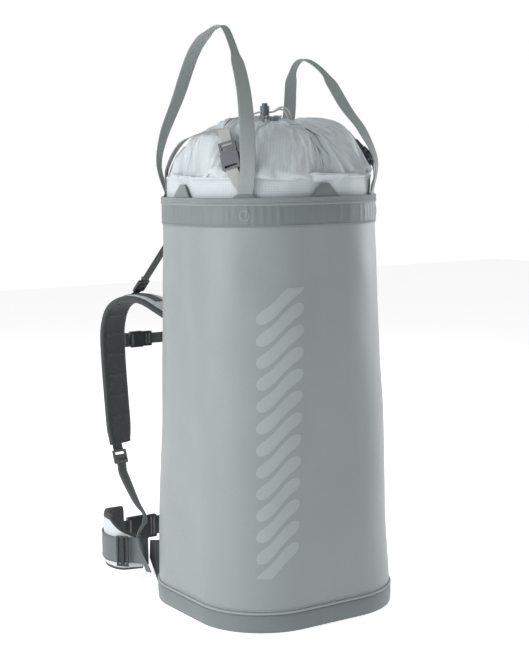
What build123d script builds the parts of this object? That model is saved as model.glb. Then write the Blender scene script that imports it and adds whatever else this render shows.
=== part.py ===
from build123d import *
import math
import os

# Rope storage bag for climbing and rigging gear. Millimetres, +Z up, origin at the middle of the
# base on the ground, harness on the +Y side.

# ---- tube, base and collar ----
BASE_SIDE = 356.0
BASE_CORNER = 120.0
TOP_SIDE = 340.0
TOP_CORNER = 145.0
COLLAR_TOP = 698.0
TAPER_LOW = 40.0
TAPER_HIGH = COLLAR_TOP - 68.0
WALL = 1.6
BASE_BAND_HEIGHT = 30.0
PIPING_HEIGHT = 4.0
PIPING_PROUD = 1.4
BASE_PANEL_THICK = 3.0
COLLAR_HEIGHT = 46.0
BINDING_HEIGHT = 12.0
SEWN_GAP = 0.1

# ---- handles ----
HANDLE_WEB = 25.0
WEB_THICK = 2.0
HANDLE_FOOT_TOP = 6.0
HANDLE_PIVOT_RISE = 12.0
HANDLE_LEAN = 5.0
HANDLE_FOOT_OUT = 1.2
RIVET_RADIUS = 8.0
RIVET_THICK = 0.8

# ---- drawstring sleeve ----
SLEEVE_GAP = 6.0
SLEEVE_WALL = 1.4
SLEEVE_HIDDEN = 60.0
SLEEVE_RISE = 40.0
SHOULDER_RISE = 20.0
CROWN_RISE = 128.0
MOUTH_RADIUS = 20.0
CORD = 3.0

# ---- lid straps ----
LID_WEB = 20.0
LID_WEB_THICK = 1.4

# ---- harness ----
BACK_PAD_HALF = 105.0
BACK_PAD_LOW = 165.0
BACK_PAD_HIGH = 620.0
BACK_PAD_THICK = 12.0
YOKE_HALF = 92.0
YOKE_LOW = 440.0
YOKE_HIGH = 520.0
YOKE_THICK = 4.0
LUMBAR_HALF = 95.0
LUMBAR_LOW = 40.0
LUMBAR_HIGH = 150.0
LUMBAR_THICK = 18.0
SHOULDER_WIDTH = 60.0
SHOULDER_THICK = 13.0
SHOULDER_ROOT = 65.0
SHOULDER_TURN = math.radians(19.6)
STRAP_WEB = 25.0
LIFTER_WEB = 20.0
STERNUM_WEB = 20.0
STERNUM_HEIGHT = 423.0
FIN_HEIGHT = 98.0
FIN_THICK = 12.0
BELT_HEIGHT = 62.0
BELT_WEB = 48.0
HIP_WEB = 36.0

# ---- buckles ----
BUCKLE_THICK = 9.0
BUCKLE_RIM = 5.0
BUCKLE_WALL = 1.8
PLUG_TAIL = 18.0
BUTT_GAP = 0.3
ARM_ROOM = 0.5
RUNNING_GAP = 0.5


def lerp(low, high, share):
    return low + (high - low) * share


def outline(z, grow=0.0):
    """Rounded-square outline of the tube's outside at height z, grown by an offset."""
    share = min(max((z - TAPER_LOW) / (TAPER_HIGH - TAPER_LOW), 0.0), 1.0)
    side = lerp(BASE_SIDE, TOP_SIDE, share) + 2 * grow
    corner = lerp(BASE_CORNER, TOP_CORNER, share) + grow
    return Plane.XY.offset(z) * RectangleRounded(side, side, corner)


def side_at(z):
    """Half the tube's width at height z."""
    share = min(max((z - TAPER_LOW) / (TAPER_HIGH - TAPER_LOW), 0.0), 1.0)
    return lerp(BASE_SIDE, TOP_SIDE, share) / 2


def corner_at(z):
    """Distance from the axis to the middle of the rounded corner, along X and along Y."""
    share = min(max((z - TAPER_LOW) / (TAPER_HIGH - TAPER_LOW), 0.0), 1.0)
    corner = lerp(BASE_CORNER, TOP_CORNER, share)
    return side_at(z) - corner + corner * math.sqrt(0.5)


def column(low, high, grow=0.0):
    """Solid inside the tube's outline between two heights, grown by an offset."""
    heights = [low] + [z for z in (TAPER_LOW, TAPER_HIGH) if low < z < high] + [high]
    return loft([outline(z, grow) for z in heights], ruled=True)


def band(low, high, inner, outer):
    """Ring that follows the tube between two heights and two offsets."""
    return column(low, high, outer) - column(low, high, inner)


def slab(x_half, y_low, y_high, z_low, z_high):
    """Plain box, centred on X."""
    size = (2 * x_half, y_high - y_low, z_high - z_low)
    return Pos(0, (y_low + y_high) / 2, (z_low + z_high) / 2) * Box(*size)


def block(x0, x1, y0, y1, z0, z1):
    """Plain box from its limits."""
    return Pos((x0 + x1) / 2, (y0 + y1) / 2, (z0 + z1) / 2) * Box(x1 - x0, y1 - y0, z1 - z0)


def webbing(points, across, width, thick, spans=20):
    """Flat strap along a smooth curve: a ruled loft of rectangles square to it. across gives the
    width's direction: one vector, or several spread evenly along the curve."""
    path = Spline(*points) if len(points) > 2 else Line(*points)
    guides = [Vector(*v) for v in (across if isinstance(across, list) else [across, across])]
    sections = []
    for i in range(spans + 1):
        share = i / spans
        along = path % share
        step = min(int(share * (len(guides) - 1)), len(guides) - 2)
        rest = share * (len(guides) - 1) - step
        wide = guides[step] * (1 - rest) + guides[step + 1] * rest
        wide = (wide - along * wide.dot(along)).normalized()
        sections.append(Plane(path @ share, x_dir=wide, z_dir=along) * Rectangle(width, thick))
    return loft(sections, ruled=True)


def mirrored(shape):
    return mirror(shape, about=Plane.YZ)


def framed(origin, insert, outward):
    """Place for a buckle: its X along the insertion, its Z out of the fabric."""
    return Plane(origin, x_dir=insert, z_dir=outward).location


def side_release(web, open_sides):
    """Side-release buckle about its mouth: socket, plug and two spring arms. The plug goes in
    along +X. With open_sides the arms' windows reach the mouth."""
    half = web / 2
    length = web + 8
    reach = length * 0.5
    rim = half + BUCKLE_RIM
    thick = BUCKLE_THICK / 2
    cavity = thick - BUCKLE_WALL
    socket = block(0, length, -rim, rim, -thick, thick)
    socket = fillet(socket.edges().filter_by(Axis.Z), 2.5)
    socket -= block(-1, reach + 3, -half - 2, half + 2, -cavity, cavity)
    socket -= block(length - 7.5, length - 3.5, -half - 0.6, half + 0.6, -thick - 1, thick + 1)
    window = -1 if open_sides else reach * 0.3
    for side in (-1, 1):
        low, high = sorted((side * (half - 1), side * (rim + 1)))
        socket -= block(window, reach + 0.8, low, high, -cavity, cavity)
    plug = block(-PLUG_TAIL, -RUNNING_GAP, -rim + 1, rim - 1, -thick + 1, thick - 1)
    plug = fillet(plug.edges().filter_by(Axis.Z), 2.0)
    plug -= block(-14.5, -11, -half - 0.6, half + 0.6, -thick, thick)
    plug -= block(-8, -5, -half - 0.6, half + 0.6, -thick, thick)
    plug += block(-RUNNING_GAP - 1, reach, -1.5, 1.5, -cavity + ARM_ROOM, cavity - ARM_ROOM)
    arms = []
    for side in (1, -1):
        shape = [(0.2, half - 5), (0.2, half - 1.5), (reach * 0.42, half), (reach * 0.42, rim - 0.4),
                 (reach * 0.72, rim - 0.4), (reach, half - 1), (reach, half - 4)]
        flat = make_face(Polyline(*[(x, side * y) for x, y in shape], close=True))
        arms.append(extrude(flat, cavity - ARM_ROOM, both=True))
    return {"socket": socket, "plug": plug, "arms": arms, "pivot": half - 3.2, "length": length}


def ladder_lock(web):
    """Three-bar strap adjuster, webbing along X, with a lift tab at its -X end."""
    rim = web / 2 + 4
    lock = block(-13, 13, -rim, rim, -2.2, 2.2)
    lock = fillet(lock.edges().filter_by(Axis.Z), 2.0)
    for low in (-8.5, 3.0):
        lock -= block(low, low + 4.5, -web / 2 - 0.6, web / 2 + 0.6, -3, 3)
    tab = Pos(-15, 0, 2.4) * Rot(0, 24, 0) * Box(9, web * 0.7, 2.4)
    return lock + tab


parts = {}

# ---- base, tube, collar ----
parts["body_tube"] = band(BASE_PANEL_THICK, COLLAR_TOP, -WALL, 0)
parts["base_panel"] = column(0, BASE_PANEL_THICK - SEWN_GAP, 0)
parts["base_band"] = band(0, BASE_BAND_HEIGHT, SEWN_GAP, WALL)
PIPING_LOW = BASE_BAND_HEIGHT + SEWN_GAP
parts["base_piping"] = band(PIPING_LOW, PIPING_LOW + PIPING_HEIGHT, SEWN_GAP, WALL + PIPING_PROUD)
COLLAR_LOW = COLLAR_TOP - COLLAR_HEIGHT
BINDING_LOW = COLLAR_TOP - BINDING_HEIGHT
COLLAR_OUT = SEWN_GAP + 1.2
parts["collar_band"] = band(COLLAR_LOW, BINDING_LOW - SEWN_GAP, SEWN_GAP, COLLAR_OUT)
parts["collar_binding"] = band(BINDING_LOW, COLLAR_TOP, SEWN_GAP, COLLAR_OUT)

# ---- triangular tabs that stand on the collar ----
TAB_RISE = 22.0
TAB_HALF = 17.0
TAB_THICK = 1.6
TAB_FLAT = make_face(Polyline((-TAB_HALF, 0), (TAB_HALF, 0), (5, TAB_RISE), (-5, TAB_RISE), close=True))


def collar_tab(turn, reach):
    """Tab on the collar's rim, its flat facing the given bearing."""
    wall = extrude(TAB_FLAT, TAB_THICK)
    foot_at = (reach - TAB_THICK, 0, COLLAR_TOP + SEWN_GAP)
    return Rot(0, 0, turn) * Plane(foot_at, x_dir=(0, 1, 0), z_dir=(1, 0, 0)).location * wall


parts["middle_tabs"] = Compound([collar_tab(90 * k, side_at(COLLAR_TOP)) for k in range(4)])

# ---- haul handles: feet sewn on the collar corners, one loop each side ----
CORNER = corner_at(COLLAR_TOP)
CORNER_REACH = CORNER * math.sqrt(2)
FOOT_REACH = CORNER_REACH + COLLAR_OUT + HANDLE_FOOT_OUT + WEB_THICK / 2
FOOT_LOW = COLLAR_LOW + 2
FOOT_TOP = COLLAR_TOP + HANDLE_FOOT_TOP
foot = Pos(FOOT_REACH, 0, (FOOT_LOW + FOOT_TOP) / 2) * Box(WEB_THICK, HANDLE_WEB, FOOT_TOP - FOOT_LOW)
parts["handle_feet"] = Compound([Rot(0, 0, 45 + 90 * k) * foot for k in range(4)])
RIVET_X = FOOT_REACH + WEB_THICK / 2 + SEWN_GAP + RIVET_THICK / 2
RIVET_Z = FOOT_LOW + 18
ring = Pos(RIVET_X, 0, RIVET_Z) * Rot(0, 90, 0) * (
    Cylinder(RIVET_RADIUS, RIVET_THICK) - Cylinder(RIVET_RADIUS - 2, 2 * RIVET_THICK))
parts["foot_rings"] = Compound([Rot(0, 0, 45 + 90 * k) * ring for k in range(4)])

PIVOT_X = FOOT_REACH * math.sqrt(0.5)
PIVOT_Z = COLLAR_TOP + HANDLE_PIVOT_RISE
LOOP_REACH = 130.0
LEFT_LOOP = [(-130, 1), (-136, 48), (-113, 153), (-67, 235), (-26, 265), (45, 235), (98, 153),
             (139, 92), (150, 40), (130, 1)]
RIGHT_LOOP = [(-130, 1), (-136, 40), (-106, 93), (-64, 133), (-10, 194), (50, 222), (88, 200),
              (106, 138), (134, 50), (130, 1)]


def haul_loop(route, side):
    """Webbing loop above two collar corners, in a plane that leans in over the bag. The route is
    along the bag and up, for a pivot at LOOP_REACH."""
    lean = math.radians(HANDLE_LEAN)
    spread = PIVOT_X / LOOP_REACH
    points = [(side * (PIVOT_X - h * math.sin(lean)), y * spread, PIVOT_Z + h * math.cos(lean))
              for y, h in route]
    across = [(1, side, 0), (1, 0, 0), (1, 0, 0), (1, -side, 0)]
    return webbing(points, across, HANDLE_WEB, WEB_THICK, spans=44)


parts["handle_left"] = haul_loop(LEFT_LOOP, -1)
parts["handle_right"] = haul_loop(RIGHT_LOOP, 1)

# ---- gathered sleeve: band inside the collar, crown above it with a small mouth ----
SLEEVE_LOW = COLLAR_TOP - SLEEVE_HIDDEN
SLEEVE_OUT = WALL + SLEEVE_GAP
SLEEVE_TOP = COLLAR_TOP + SLEEVE_RISE
parts["sleeve_band"] = band(SLEEVE_LOW, SLEEVE_TOP, -SLEEVE_OUT - SLEEVE_WALL, -SLEEVE_OUT)
CROWN_LEVELS = [(0, 1.0), (SHOULDER_RISE, 0.93), (SHOULDER_RISE + 14, 0.74), (SHOULDER_RISE + 32, 0.46)]
CROWN_START = SLEEVE_TOP + SEWN_GAP


def crown(inset):
    """Solid inside the gathered crown: rounded squares that shrink to a round mouth."""
    rim = side_at(COLLAR_TOP) - SLEEVE_OUT - inset
    corner = TOP_CORNER - SLEEVE_OUT - inset
    levels = [(CROWN_START + rise - (0 if rise == 0 else inset), rim * share, corner * share)
              for rise, share in CROWN_LEVELS]
    levels.append((COLLAR_TOP + CROWN_RISE, MOUTH_RADIUS - inset, (MOUTH_RADIUS - inset) * 0.98))
    return loft([Plane.XY.offset(z) * RectangleRounded(2 * half, 2 * half, r)
                 for z, half, r in levels], ruled=True)


parts["sleeve_crown"] = crown(0) - crown(SLEEVE_WALL)

# ---- drawcord and its lock ----
CROWN_TOP = COLLAR_TOP + CROWN_RISE
LOCK_RADIUS = 8.0
LOCK_LONG = 21.0
LOCK_SIDE_WALL = 2.4
BUTTON_TRAVEL = 3.0
SPRING_WALL = 1.0
CORD_PITCH = 2.2
CORD_WAY = Vector(0.84, -0.54, 0)
SIDEWAY = Vector(0.54, 0.84, 0)
LOCK_CENTRE = Vector(-3, 2, CROWN_TOP + LOCK_LONG / 2 + 1)
LOCK_PLACE = Plane(LOCK_CENTRE, x_dir=CORD_WAY, z_dir=(0, 0, 1)).location
cord_hole = Box(3 * LOCK_RADIUS, 2 * CORD_PITCH + CORD + 1.2, CORD + 1.2)
lock_bore = LOCK_RADIUS - LOCK_SIDE_WALL
lock_half = LOCK_LONG / 2
barrel = Cylinder(LOCK_RADIUS, LOCK_LONG)
barrel -= Pos(0, 0, LOCK_SIDE_WALL) * Cylinder(lock_bore, LOCK_LONG)
parts["cord_lock_barrel"] = LOCK_PLACE * (barrel - cord_hole)
BUTTON_FLOOR = 2.4
BUTTON_HIGH = lock_half + BUTTON_TRAVEL + 1.5
button_hole_low = -CORD / 2 - 0.4
button_hole_high = CORD / 2 + 0.4 + BUTTON_TRAVEL
BUTTON_LOW = button_hole_low - BUTTON_FLOOR
button_long = BUTTON_HIGH - BUTTON_LOW
button = Pos(0, 0, (BUTTON_LOW + BUTTON_HIGH) / 2) * Cylinder(lock_bore - RUNNING_GAP, button_long)
button_slot = block(-LOCK_RADIUS, LOCK_RADIUS, -CORD_PITCH - CORD / 2 - 0.6, CORD_PITCH + CORD / 2 + 0.6,
                    button_hole_low, button_hole_high)
parts["cord_lock_button"] = LOCK_PLACE * (button - button_slot)
SPRING_LOW = LOCK_SIDE_WALL - lock_half
spring_outer = lock_bore - 2 * RUNNING_GAP
spring_long = BUTTON_LOW - SPRING_LOW
spring = Cylinder(spring_outer, spring_long) - Cylinder(spring_outer - SPRING_WALL, spring_long + 1)
parts["cord_lock_spring"] = LOCK_PLACE * Pos(0, 0, (SPRING_LOW + BUTTON_LOW) / 2) * spring


def drawcord(aside, route):
    """Cord that leaves the lock and arcs down into the gathers: straight runs joined by arcs."""
    start = LOCK_CENTRE + SIDEWAY * aside
    points = [start + CORD_WAY * along + SIDEWAY * side + Vector(0, 0, rise)
              for along, side, rise in route]
    radii = []
    for before, corner, after in zip(points, points[1:], points[2:]):
        runs = (corner - before, after - corner)
        turn = math.radians(runs[0].get_angle(runs[1]))
        radii.append(0.45 * min(runs[0].length, runs[1].length) / math.tan(turn / 2))
    path = FilletPolyline(*points, radius=radii)
    tube = sweep(Plane(path @ 0, z_dir=path % 0) * Circle(CORD / 2), path=path)
    ratio = tube.volume / (path.length * math.pi * CORD ** 2 / 4)
    print("cord radii", [round(r, 1) for r in radii], "length", round(path.length, 1), round(ratio, 3))
    return tube


UPPER_ROUTE = [(-26, 1, -10), (-18, 0, 0), (-1, 0, 0.3), (15, 0, 0), (24, -1, 8),
               (34, -2, 8), (42, -1, 1), (44, 0, -11)]
LOWER_ROUTE = [(-25, -1, -10), (-18, 0, 0), (-1, 0, -0.3), (15, 0, 0), (23, 1, 5),
               (31, 2, 4), (37, 2, -3), (39, 1, -12)]
parts["drawcord_upper"] = drawcord(CORD_PITCH, UPPER_ROUTE)
parts["drawcord_lower"] = drawcord(-CORD_PITCH, LOWER_ROUTE)

# ---- lid straps and their buckles ----
STRAP_FOOT = CORNER - 2.6
STRAP_FOOT_Z = COLLAR_TOP + 8
LID_BUCKLE = side_release(LID_WEB, open_sides=False)
MOUTH_BACK = 5.0
FRONT_ALONG = (1, -1, 0)
REAR_ALONG = (1, 1, 0)
RIM_HALF = TOP_SIDE / 2


def by_rim(inward, y, rise):
    """Place over the left side of the collar: in from its wall, along Y, and up from its rim."""
    return Vector(inward - RIM_HALF, y, COLLAR_TOP + rise)


REAR_FOOT = (-STRAP_FOOT, STRAP_FOOT, STRAP_FOOT_Z)
FRONT_FOOT = (-STRAP_FOOT, -STRAP_FOOT, STRAP_FOOT_Z)


def lid_strap(centre, insert, outward, over, low):
    """One lid strap on the left side: webbing from the rear corner over the sleeve to a buckle,
    and a short webbing from the buckle down to the front corner."""
    insert = insert.normalized()
    start = centre - insert * MOUTH_BACK
    place = framed(start, insert, outward)
    across = outward.cross(insert).normalized()
    upper = [start - insert * (PLUG_TAIL + 2), start - insert * (PLUG_TAIL + 10)] + over
    lower = [start + insert * (LID_BUCKLE["length"] + 2), low, FRONT_FOOT]
    return {
        "over": webbing(upper + [by_rim(51, RIM_HALF - 90, 92), by_rim(42, RIM_HALF - 52, 48), REAR_FOOT],
                        [across, (0.9, 0, 0.4), REAR_ALONG], LID_WEB, LID_WEB_THICK, 30),
        "end": webbing(lower, [across, FRONT_ALONG], LID_WEB, LID_WEB_THICK, 10),
        "socket": place * LID_BUCKLE["socket"], "plug": place * LID_BUCKLE["plug"],
        "latch_upper": place * LID_BUCKLE["arms"][0], "latch_lower": place * LID_BUCKLE["arms"][1]}


LID_LEFT = lid_strap(by_rim(31, 67 - RIM_HALF, 67), Vector(-0.05, -0.38, -0.92), Vector(-0.78, -0.60, 0.20),
                     [by_rim(42, -50, 106), by_rim(62, 20, 106)], by_rim(37, 53 - RIM_HALF, 26))
LID_RIGHT = lid_strap(by_rim(25, 95 - RIM_HALF, 69), Vector(-0.35, -0.62, -0.70), Vector(-0.80, -0.10, 0.50),
                      [by_rim(54, -12, 106), by_rim(62, 30, 106)], by_rim(27, 61 - RIM_HALF, 26))

# ---- harness on the back: pads sewn to the tube, yoke, shoulder pads ----
BACK_GAP = 0.3
back_outer = BACK_GAP + BACK_PAD_THICK
back_block = slab(BACK_PAD_HALF, 0, BASE_SIDE, BACK_PAD_LOW, BACK_PAD_HIGH)
parts["back_pad"] = band(BACK_PAD_LOW, BACK_PAD_HIGH, BACK_GAP, back_outer) & back_block
yoke_inner = back_outer + BACK_GAP
yoke_outer = yoke_inner + YOKE_THICK
parts["harness_yoke"] = band(YOKE_LOW, YOKE_HIGH, yoke_inner, yoke_outer) & slab(
    YOKE_HALF, 0, BASE_SIDE, YOKE_LOW, YOKE_HIGH)
lumbar_inner = WALL + PIPING_PROUD + BACK_GAP
parts["lumbar_pad"] = band(LUMBAR_LOW, LUMBAR_HIGH, BACK_GAP, lumbar_inner + LUMBAR_THICK) & slab(
    LUMBAR_HALF, 0, BASE_SIDE, LUMBAR_LOW, LUMBAR_HIGH)

SHOULDER_WAY = Vector(-math.sin(SHOULDER_TURN), math.cos(SHOULDER_TURN), 0)
SHOULDER_ACROSS = Vector(math.cos(SHOULDER_TURN), math.sin(SHOULDER_TURN), 0)
REAR_Y = BASE_SIDE / 2
REAR_X = -BASE_SIDE / 2
SHOULDER_FROM = Vector(-SHOULDER_ROOT, side_at(YOKE_HIGH) + 4.5, 0)


def shoulder_point(reach, z, aside=0.0):
    """Point in the left shoulder strap's upright plane."""
    return SHOULDER_FROM + SHOULDER_WAY * reach + SHOULDER_ACROSS * aside + Vector(0, 0, z)


PAD_ROUTE = [(28, 482), (82, 506), (128, 508), (164, 490), (180, 452), (181, 400), (176, 321), (169, 232)]
pad_points = [shoulder_point(*p) for p in PAD_ROUTE]
LIFTER_LOCK_AT = shoulder_point(106, 532)
LIFTER_TOP = shoulder_point(8, COLLAR_LOW - 4)
lifter_way = (LIFTER_LOCK_AT - LIFTER_TOP).normalized()
lifter_out = lifter_way.cross(SHOULDER_ACROSS) * -1
LOCK_CLEAR = 21
STRAP_LOCK_AT = shoulder_point(170, 206)
STRAP_LOCK_WAY = Vector(0.04, -0.30, -0.95).normalized()
STRAP_END = Vector(REAR_X + 22, REAR_Y - 9, 28)
strap_route = [STRAP_LOCK_AT + STRAP_LOCK_WAY * 15, STRAP_LOCK_AT + STRAP_LOCK_WAY * 35,
               (-SHOULDER_ROOT - 66, REAR_Y + 84, 137), (REAR_X + 39, REAR_Y + 37, 120),
               (REAR_X + 25, REAR_Y + 15, 110), (REAR_X + 6, REAR_Y + 2, 84), STRAP_END]
strap_out = SHOULDER_ACROSS.cross(STRAP_LOCK_WAY)
LOWER_WEB_LAST = (0.20, 0.80, -0.45)

# ---- sternum strap ----
STERNUM_Y = SHOULDER_FROM.Y + 181.0
STERNUM_CLIP_X = 92.0
STERNUM_BUCKLE = side_release(STERNUM_WEB, open_sides=True)
STERNUM_MOUTH_X = -57.0
STERNUM_PLACE = framed(Vector(STERNUM_MOUTH_X, STERNUM_Y, STERNUM_HEIGHT), (-1, 0, 0), (0, 1, 0))
PLUG_TRAVEL = 18.0
CLIP_HALF = (3.0, 4.0, 13.0)
sternum_clip = Pos(-STERNUM_CLIP_X, STERNUM_Y, STERNUM_HEIGHT) * Box(*[2 * half for half in CLIP_HALF])
CLIP_SIDE = STERNUM_CLIP_X - CLIP_HALF[0] - SEWN_GAP
sternum_half = STERNUM_WEB / 2
web_half = WEB_THICK / 2

# ---- hip belt: fins on a webbing that starts at the rear tabs ----
FIN_ROUTE = [(28, 24), (-5, 48), (-10, 84), (10, 124), (48, 144)]
FIN_OUTER = FIN_THICK / 2 + web_half + 1.0
HIP_Y = REAR_Y + 160.0
HIP_BUCKLE = side_release(HIP_WEB, open_sides=True)
HIP_MOUTH_X = -66.0
HIP_WEB_END = -REAR_X - 10.0
HIP_WEB_START = REAR_X + 28.0
HIP_PLACE = framed(Vector(HIP_MOUTH_X, HIP_Y, BELT_HEIGHT), (-1, 0, 0), (0, 1, 0))
hip_half = HIP_WEB / 2
FIN_CENTRE = BELT_HEIGHT + 10
fin_points = [Vector(REAR_X + x, REAR_Y + y, FIN_CENTRE) for x, y in FIN_ROUTE]
fin_path = Spline(*fin_points)
fin_low_edge = FIN_CENTRE + FIN_HEIGHT / 2
fin_slope = make_face(Polyline((REAR_Y + 2, 86), (REAR_Y + 28, 88), (REAR_Y + 66, fin_low_edge + 1),
                               (REAR_Y + 2, fin_low_edge + 1), close=True))
fin_cut = extrude(Plane.YZ * fin_slope, BASE_SIDE, both=True)
belt_drop = Vector(0, 0, BELT_HEIGHT - FIN_CENTRE)
belt_route = [Vector(HIP_WEB_START, REAR_Y + 2, BELT_HEIGHT)]
for belt_share in (0.12, 0.24, 0.37, 0.5, 0.65, 0.8):
    fin_way = fin_path % belt_share
    fin_side = fin_way.cross(Vector(0, 0, 1)).normalized()
    belt_route.append(fin_path @ belt_share - fin_side * FIN_OUTER + belt_drop)
REAR_CORNER = corner_at(BASE_BAND_HEIGHT)
tab_plate = make_face(Polyline((0, -50), (0, 26), (24, 22), (26, -10), (8, -50), close=True))
TAB_AT = Vector(-REAR_CORNER + 3, REAR_CORNER + 10, BELT_HEIGHT)
TAB_OUT = Vector(-0.35, 0.94, 0)


def both_sides(name, shape):
    """Both copies of a piece in one node, as separate solids."""
    parts[name] = Compound([shape, mirrored(shape)])


def left_and_right(name, shape):
    """The same piece on the left and, mirrored, on the right."""
    parts[name + "_left"] = shape
    parts[name + "_right"] = mirrored(shape)


parts["lid_strap_left"] = LID_LEFT["over"]
parts["lid_strap_right"] = mirrored(LID_RIGHT["over"])
parts["lid_strap_ends"] = Compound([LID_LEFT["end"], mirrored(LID_RIGHT["end"])])
for piece in ("socket", "plug", "latch_upper", "latch_lower"):
    parts["lid_" + piece + "_left"] = LID_LEFT[piece]
    parts["lid_" + piece + "_right"] = mirrored(LID_RIGHT[piece])
left_and_right("shoulder_pad", webbing(pad_points, SHOULDER_ACROSS, SHOULDER_WIDTH, SHOULDER_THICK, 28))
both_sides("load_lifters", webbing([LIFTER_TOP, LIFTER_LOCK_AT - lifter_way * LOCK_CLEAR], SHOULDER_ACROSS,
                                      LIFTER_WEB, WEB_THICK, 1))
left_and_right("lifter_lock", framed(LIFTER_LOCK_AT, lifter_way, lifter_out) * ladder_lock(LIFTER_WEB))
left_and_right("strap_lock", framed(STRAP_LOCK_AT, STRAP_LOCK_WAY, strap_out) * ladder_lock(STRAP_WEB))
left_and_right("lower_strap", webbing(strap_route, [SHOULDER_ACROSS, LOWER_WEB_LAST], STRAP_WEB,
                                      WEB_THICK, 24))
both_sides("rear_tabs", Plane(TAB_AT, x_dir=TAB_OUT, z_dir=(0.94, 0.35, 0)).location * extrude(
    tab_plate, web_half, both=True))
left_and_right("hip_fin", webbing(fin_points, (0, 0, 1), FIN_HEIGHT, FIN_THICK, 24) - fin_cut)
left_and_right("hip_webbing", webbing(belt_route, (0, 0, 1), BELT_WEB, WEB_THICK, 24))
parts["sternum_clips"] = Compound([sternum_clip, mirrored(sternum_clip)])
parts["sternum_web_short"] = block(-CLIP_SIDE, STERNUM_MOUTH_X - STERNUM_BUCKLE["length"] - BUTT_GAP,
                                   STERNUM_Y - web_half, STERNUM_Y + web_half,
                                   STERNUM_HEIGHT - sternum_half, STERNUM_HEIGHT + sternum_half)

# ---- sternum buckle and webbing ----
sternum_low, sternum_high = STERNUM_HEIGHT - sternum_half, STERNUM_HEIGHT + sternum_half
plug_end_x = STERNUM_MOUTH_X + PLUG_TAIL + BUTT_GAP
parts["sternum_web_long"] = block(plug_end_x, CLIP_SIDE - PLUG_TRAVEL, STERNUM_Y - web_half,
                                  STERNUM_Y + web_half, sternum_low, sternum_high)
parts["sternum_socket"] = STERNUM_PLACE * STERNUM_BUCKLE["socket"]
parts["sternum_plug"] = STERNUM_PLACE * STERNUM_BUCKLE["plug"]
parts["sternum_latch_upper"] = STERNUM_PLACE * STERNUM_BUCKLE["arms"][0]
parts["sternum_latch_lower"] = STERNUM_PLACE * STERNUM_BUCKLE["arms"][1]

# ---- hip buckle and webbing ----
hip_low, hip_high = BELT_HEIGHT - hip_half, BELT_HEIGHT + hip_half
socket_end_x = HIP_MOUTH_X - HIP_BUCKLE["length"] - BUTT_GAP
parts["hip_web_short"] = block(HIP_WEB_START, socket_end_x, HIP_Y - web_half, HIP_Y + web_half, hip_low, hip_high)
parts["hip_web_long"] = block(HIP_MOUTH_X + PLUG_TAIL + BUTT_GAP, HIP_WEB_END, HIP_Y - web_half, HIP_Y + web_half, hip_low, hip_high)
parts["hip_socket"] = HIP_PLACE * HIP_BUCKLE["socket"]
parts["hip_plug"] = HIP_PLACE * HIP_BUCKLE["plug"]
parts["hip_latch_upper"] = HIP_PLACE * HIP_BUCKLE["arms"][0]
parts["hip_latch_lower"] = HIP_PLACE * HIP_BUCKLE["arms"][1]

# ---- belt sliders ----
TRI_SHARE = 0.19
SLIDER_LIFT = 4.4
tri_way = (fin_path % TRI_SHARE).normalized()
TRI_OUT = tri_way.cross(Vector(0, 0, 1)) * -1
TRI_AT = fin_path @ TRI_SHARE + TRI_OUT * (FIN_OUTER + SLIDER_LIFT) + belt_drop
tri_rim = BELT_WEB / 2 + 4
tri_glide = block(-11, 11, -tri_rim, tri_rim, -1.6, 1.6)
for tri_slot in (-7.5, 3.0):
    tri_glide -= block(tri_slot, tri_slot + 4.5, -BELT_WEB / 2 - 0.6, BELT_WEB / 2 + 0.6, -3, 3)
tri_left = Plane(TRI_AT, x_dir=tri_way, z_dir=TRI_OUT).location * tri_glide
parts["belt_sliders"] = Compound([tri_left, mirrored(tri_left)])

os.makedirs("parts", exist_ok=True)
for node, shape in parts.items():
    export_step(shape, "parts/" + node + ".step")
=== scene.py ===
import math
import bmesh
import bpy
import numpy as np
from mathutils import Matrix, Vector


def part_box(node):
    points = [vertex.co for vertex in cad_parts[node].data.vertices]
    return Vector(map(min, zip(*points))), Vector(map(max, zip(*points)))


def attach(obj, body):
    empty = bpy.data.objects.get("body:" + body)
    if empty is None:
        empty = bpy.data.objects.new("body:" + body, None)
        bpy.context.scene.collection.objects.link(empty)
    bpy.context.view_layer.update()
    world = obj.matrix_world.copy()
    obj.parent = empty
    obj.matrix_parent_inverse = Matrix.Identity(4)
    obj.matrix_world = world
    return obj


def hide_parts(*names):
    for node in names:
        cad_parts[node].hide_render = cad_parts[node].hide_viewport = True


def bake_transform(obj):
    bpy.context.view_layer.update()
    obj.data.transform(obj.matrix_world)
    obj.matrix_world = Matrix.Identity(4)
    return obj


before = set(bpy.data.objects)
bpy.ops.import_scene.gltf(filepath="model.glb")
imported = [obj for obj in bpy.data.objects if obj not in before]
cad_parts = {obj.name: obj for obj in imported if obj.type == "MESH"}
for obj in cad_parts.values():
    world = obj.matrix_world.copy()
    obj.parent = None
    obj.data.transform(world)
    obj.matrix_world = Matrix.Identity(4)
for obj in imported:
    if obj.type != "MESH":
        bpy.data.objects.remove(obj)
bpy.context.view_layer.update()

# Rope storage bag. Lengths are metres, +Z up, the harness on the +Y side.

# ---- camera: standing in front and to the left of the bag ----
VIEW_AZIMUTH = math.radians(-33.0)
VIEW_RISE = math.radians(6.57)
VIEW_ROLL = math.radians(-0.82)
VIEW_AWAY = 2.401
VIEW_AIM = np.array([0.0, 0.0, 0.4784])
VIEW_ASIDE = -0.0092
LENS = 77.8

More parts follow.
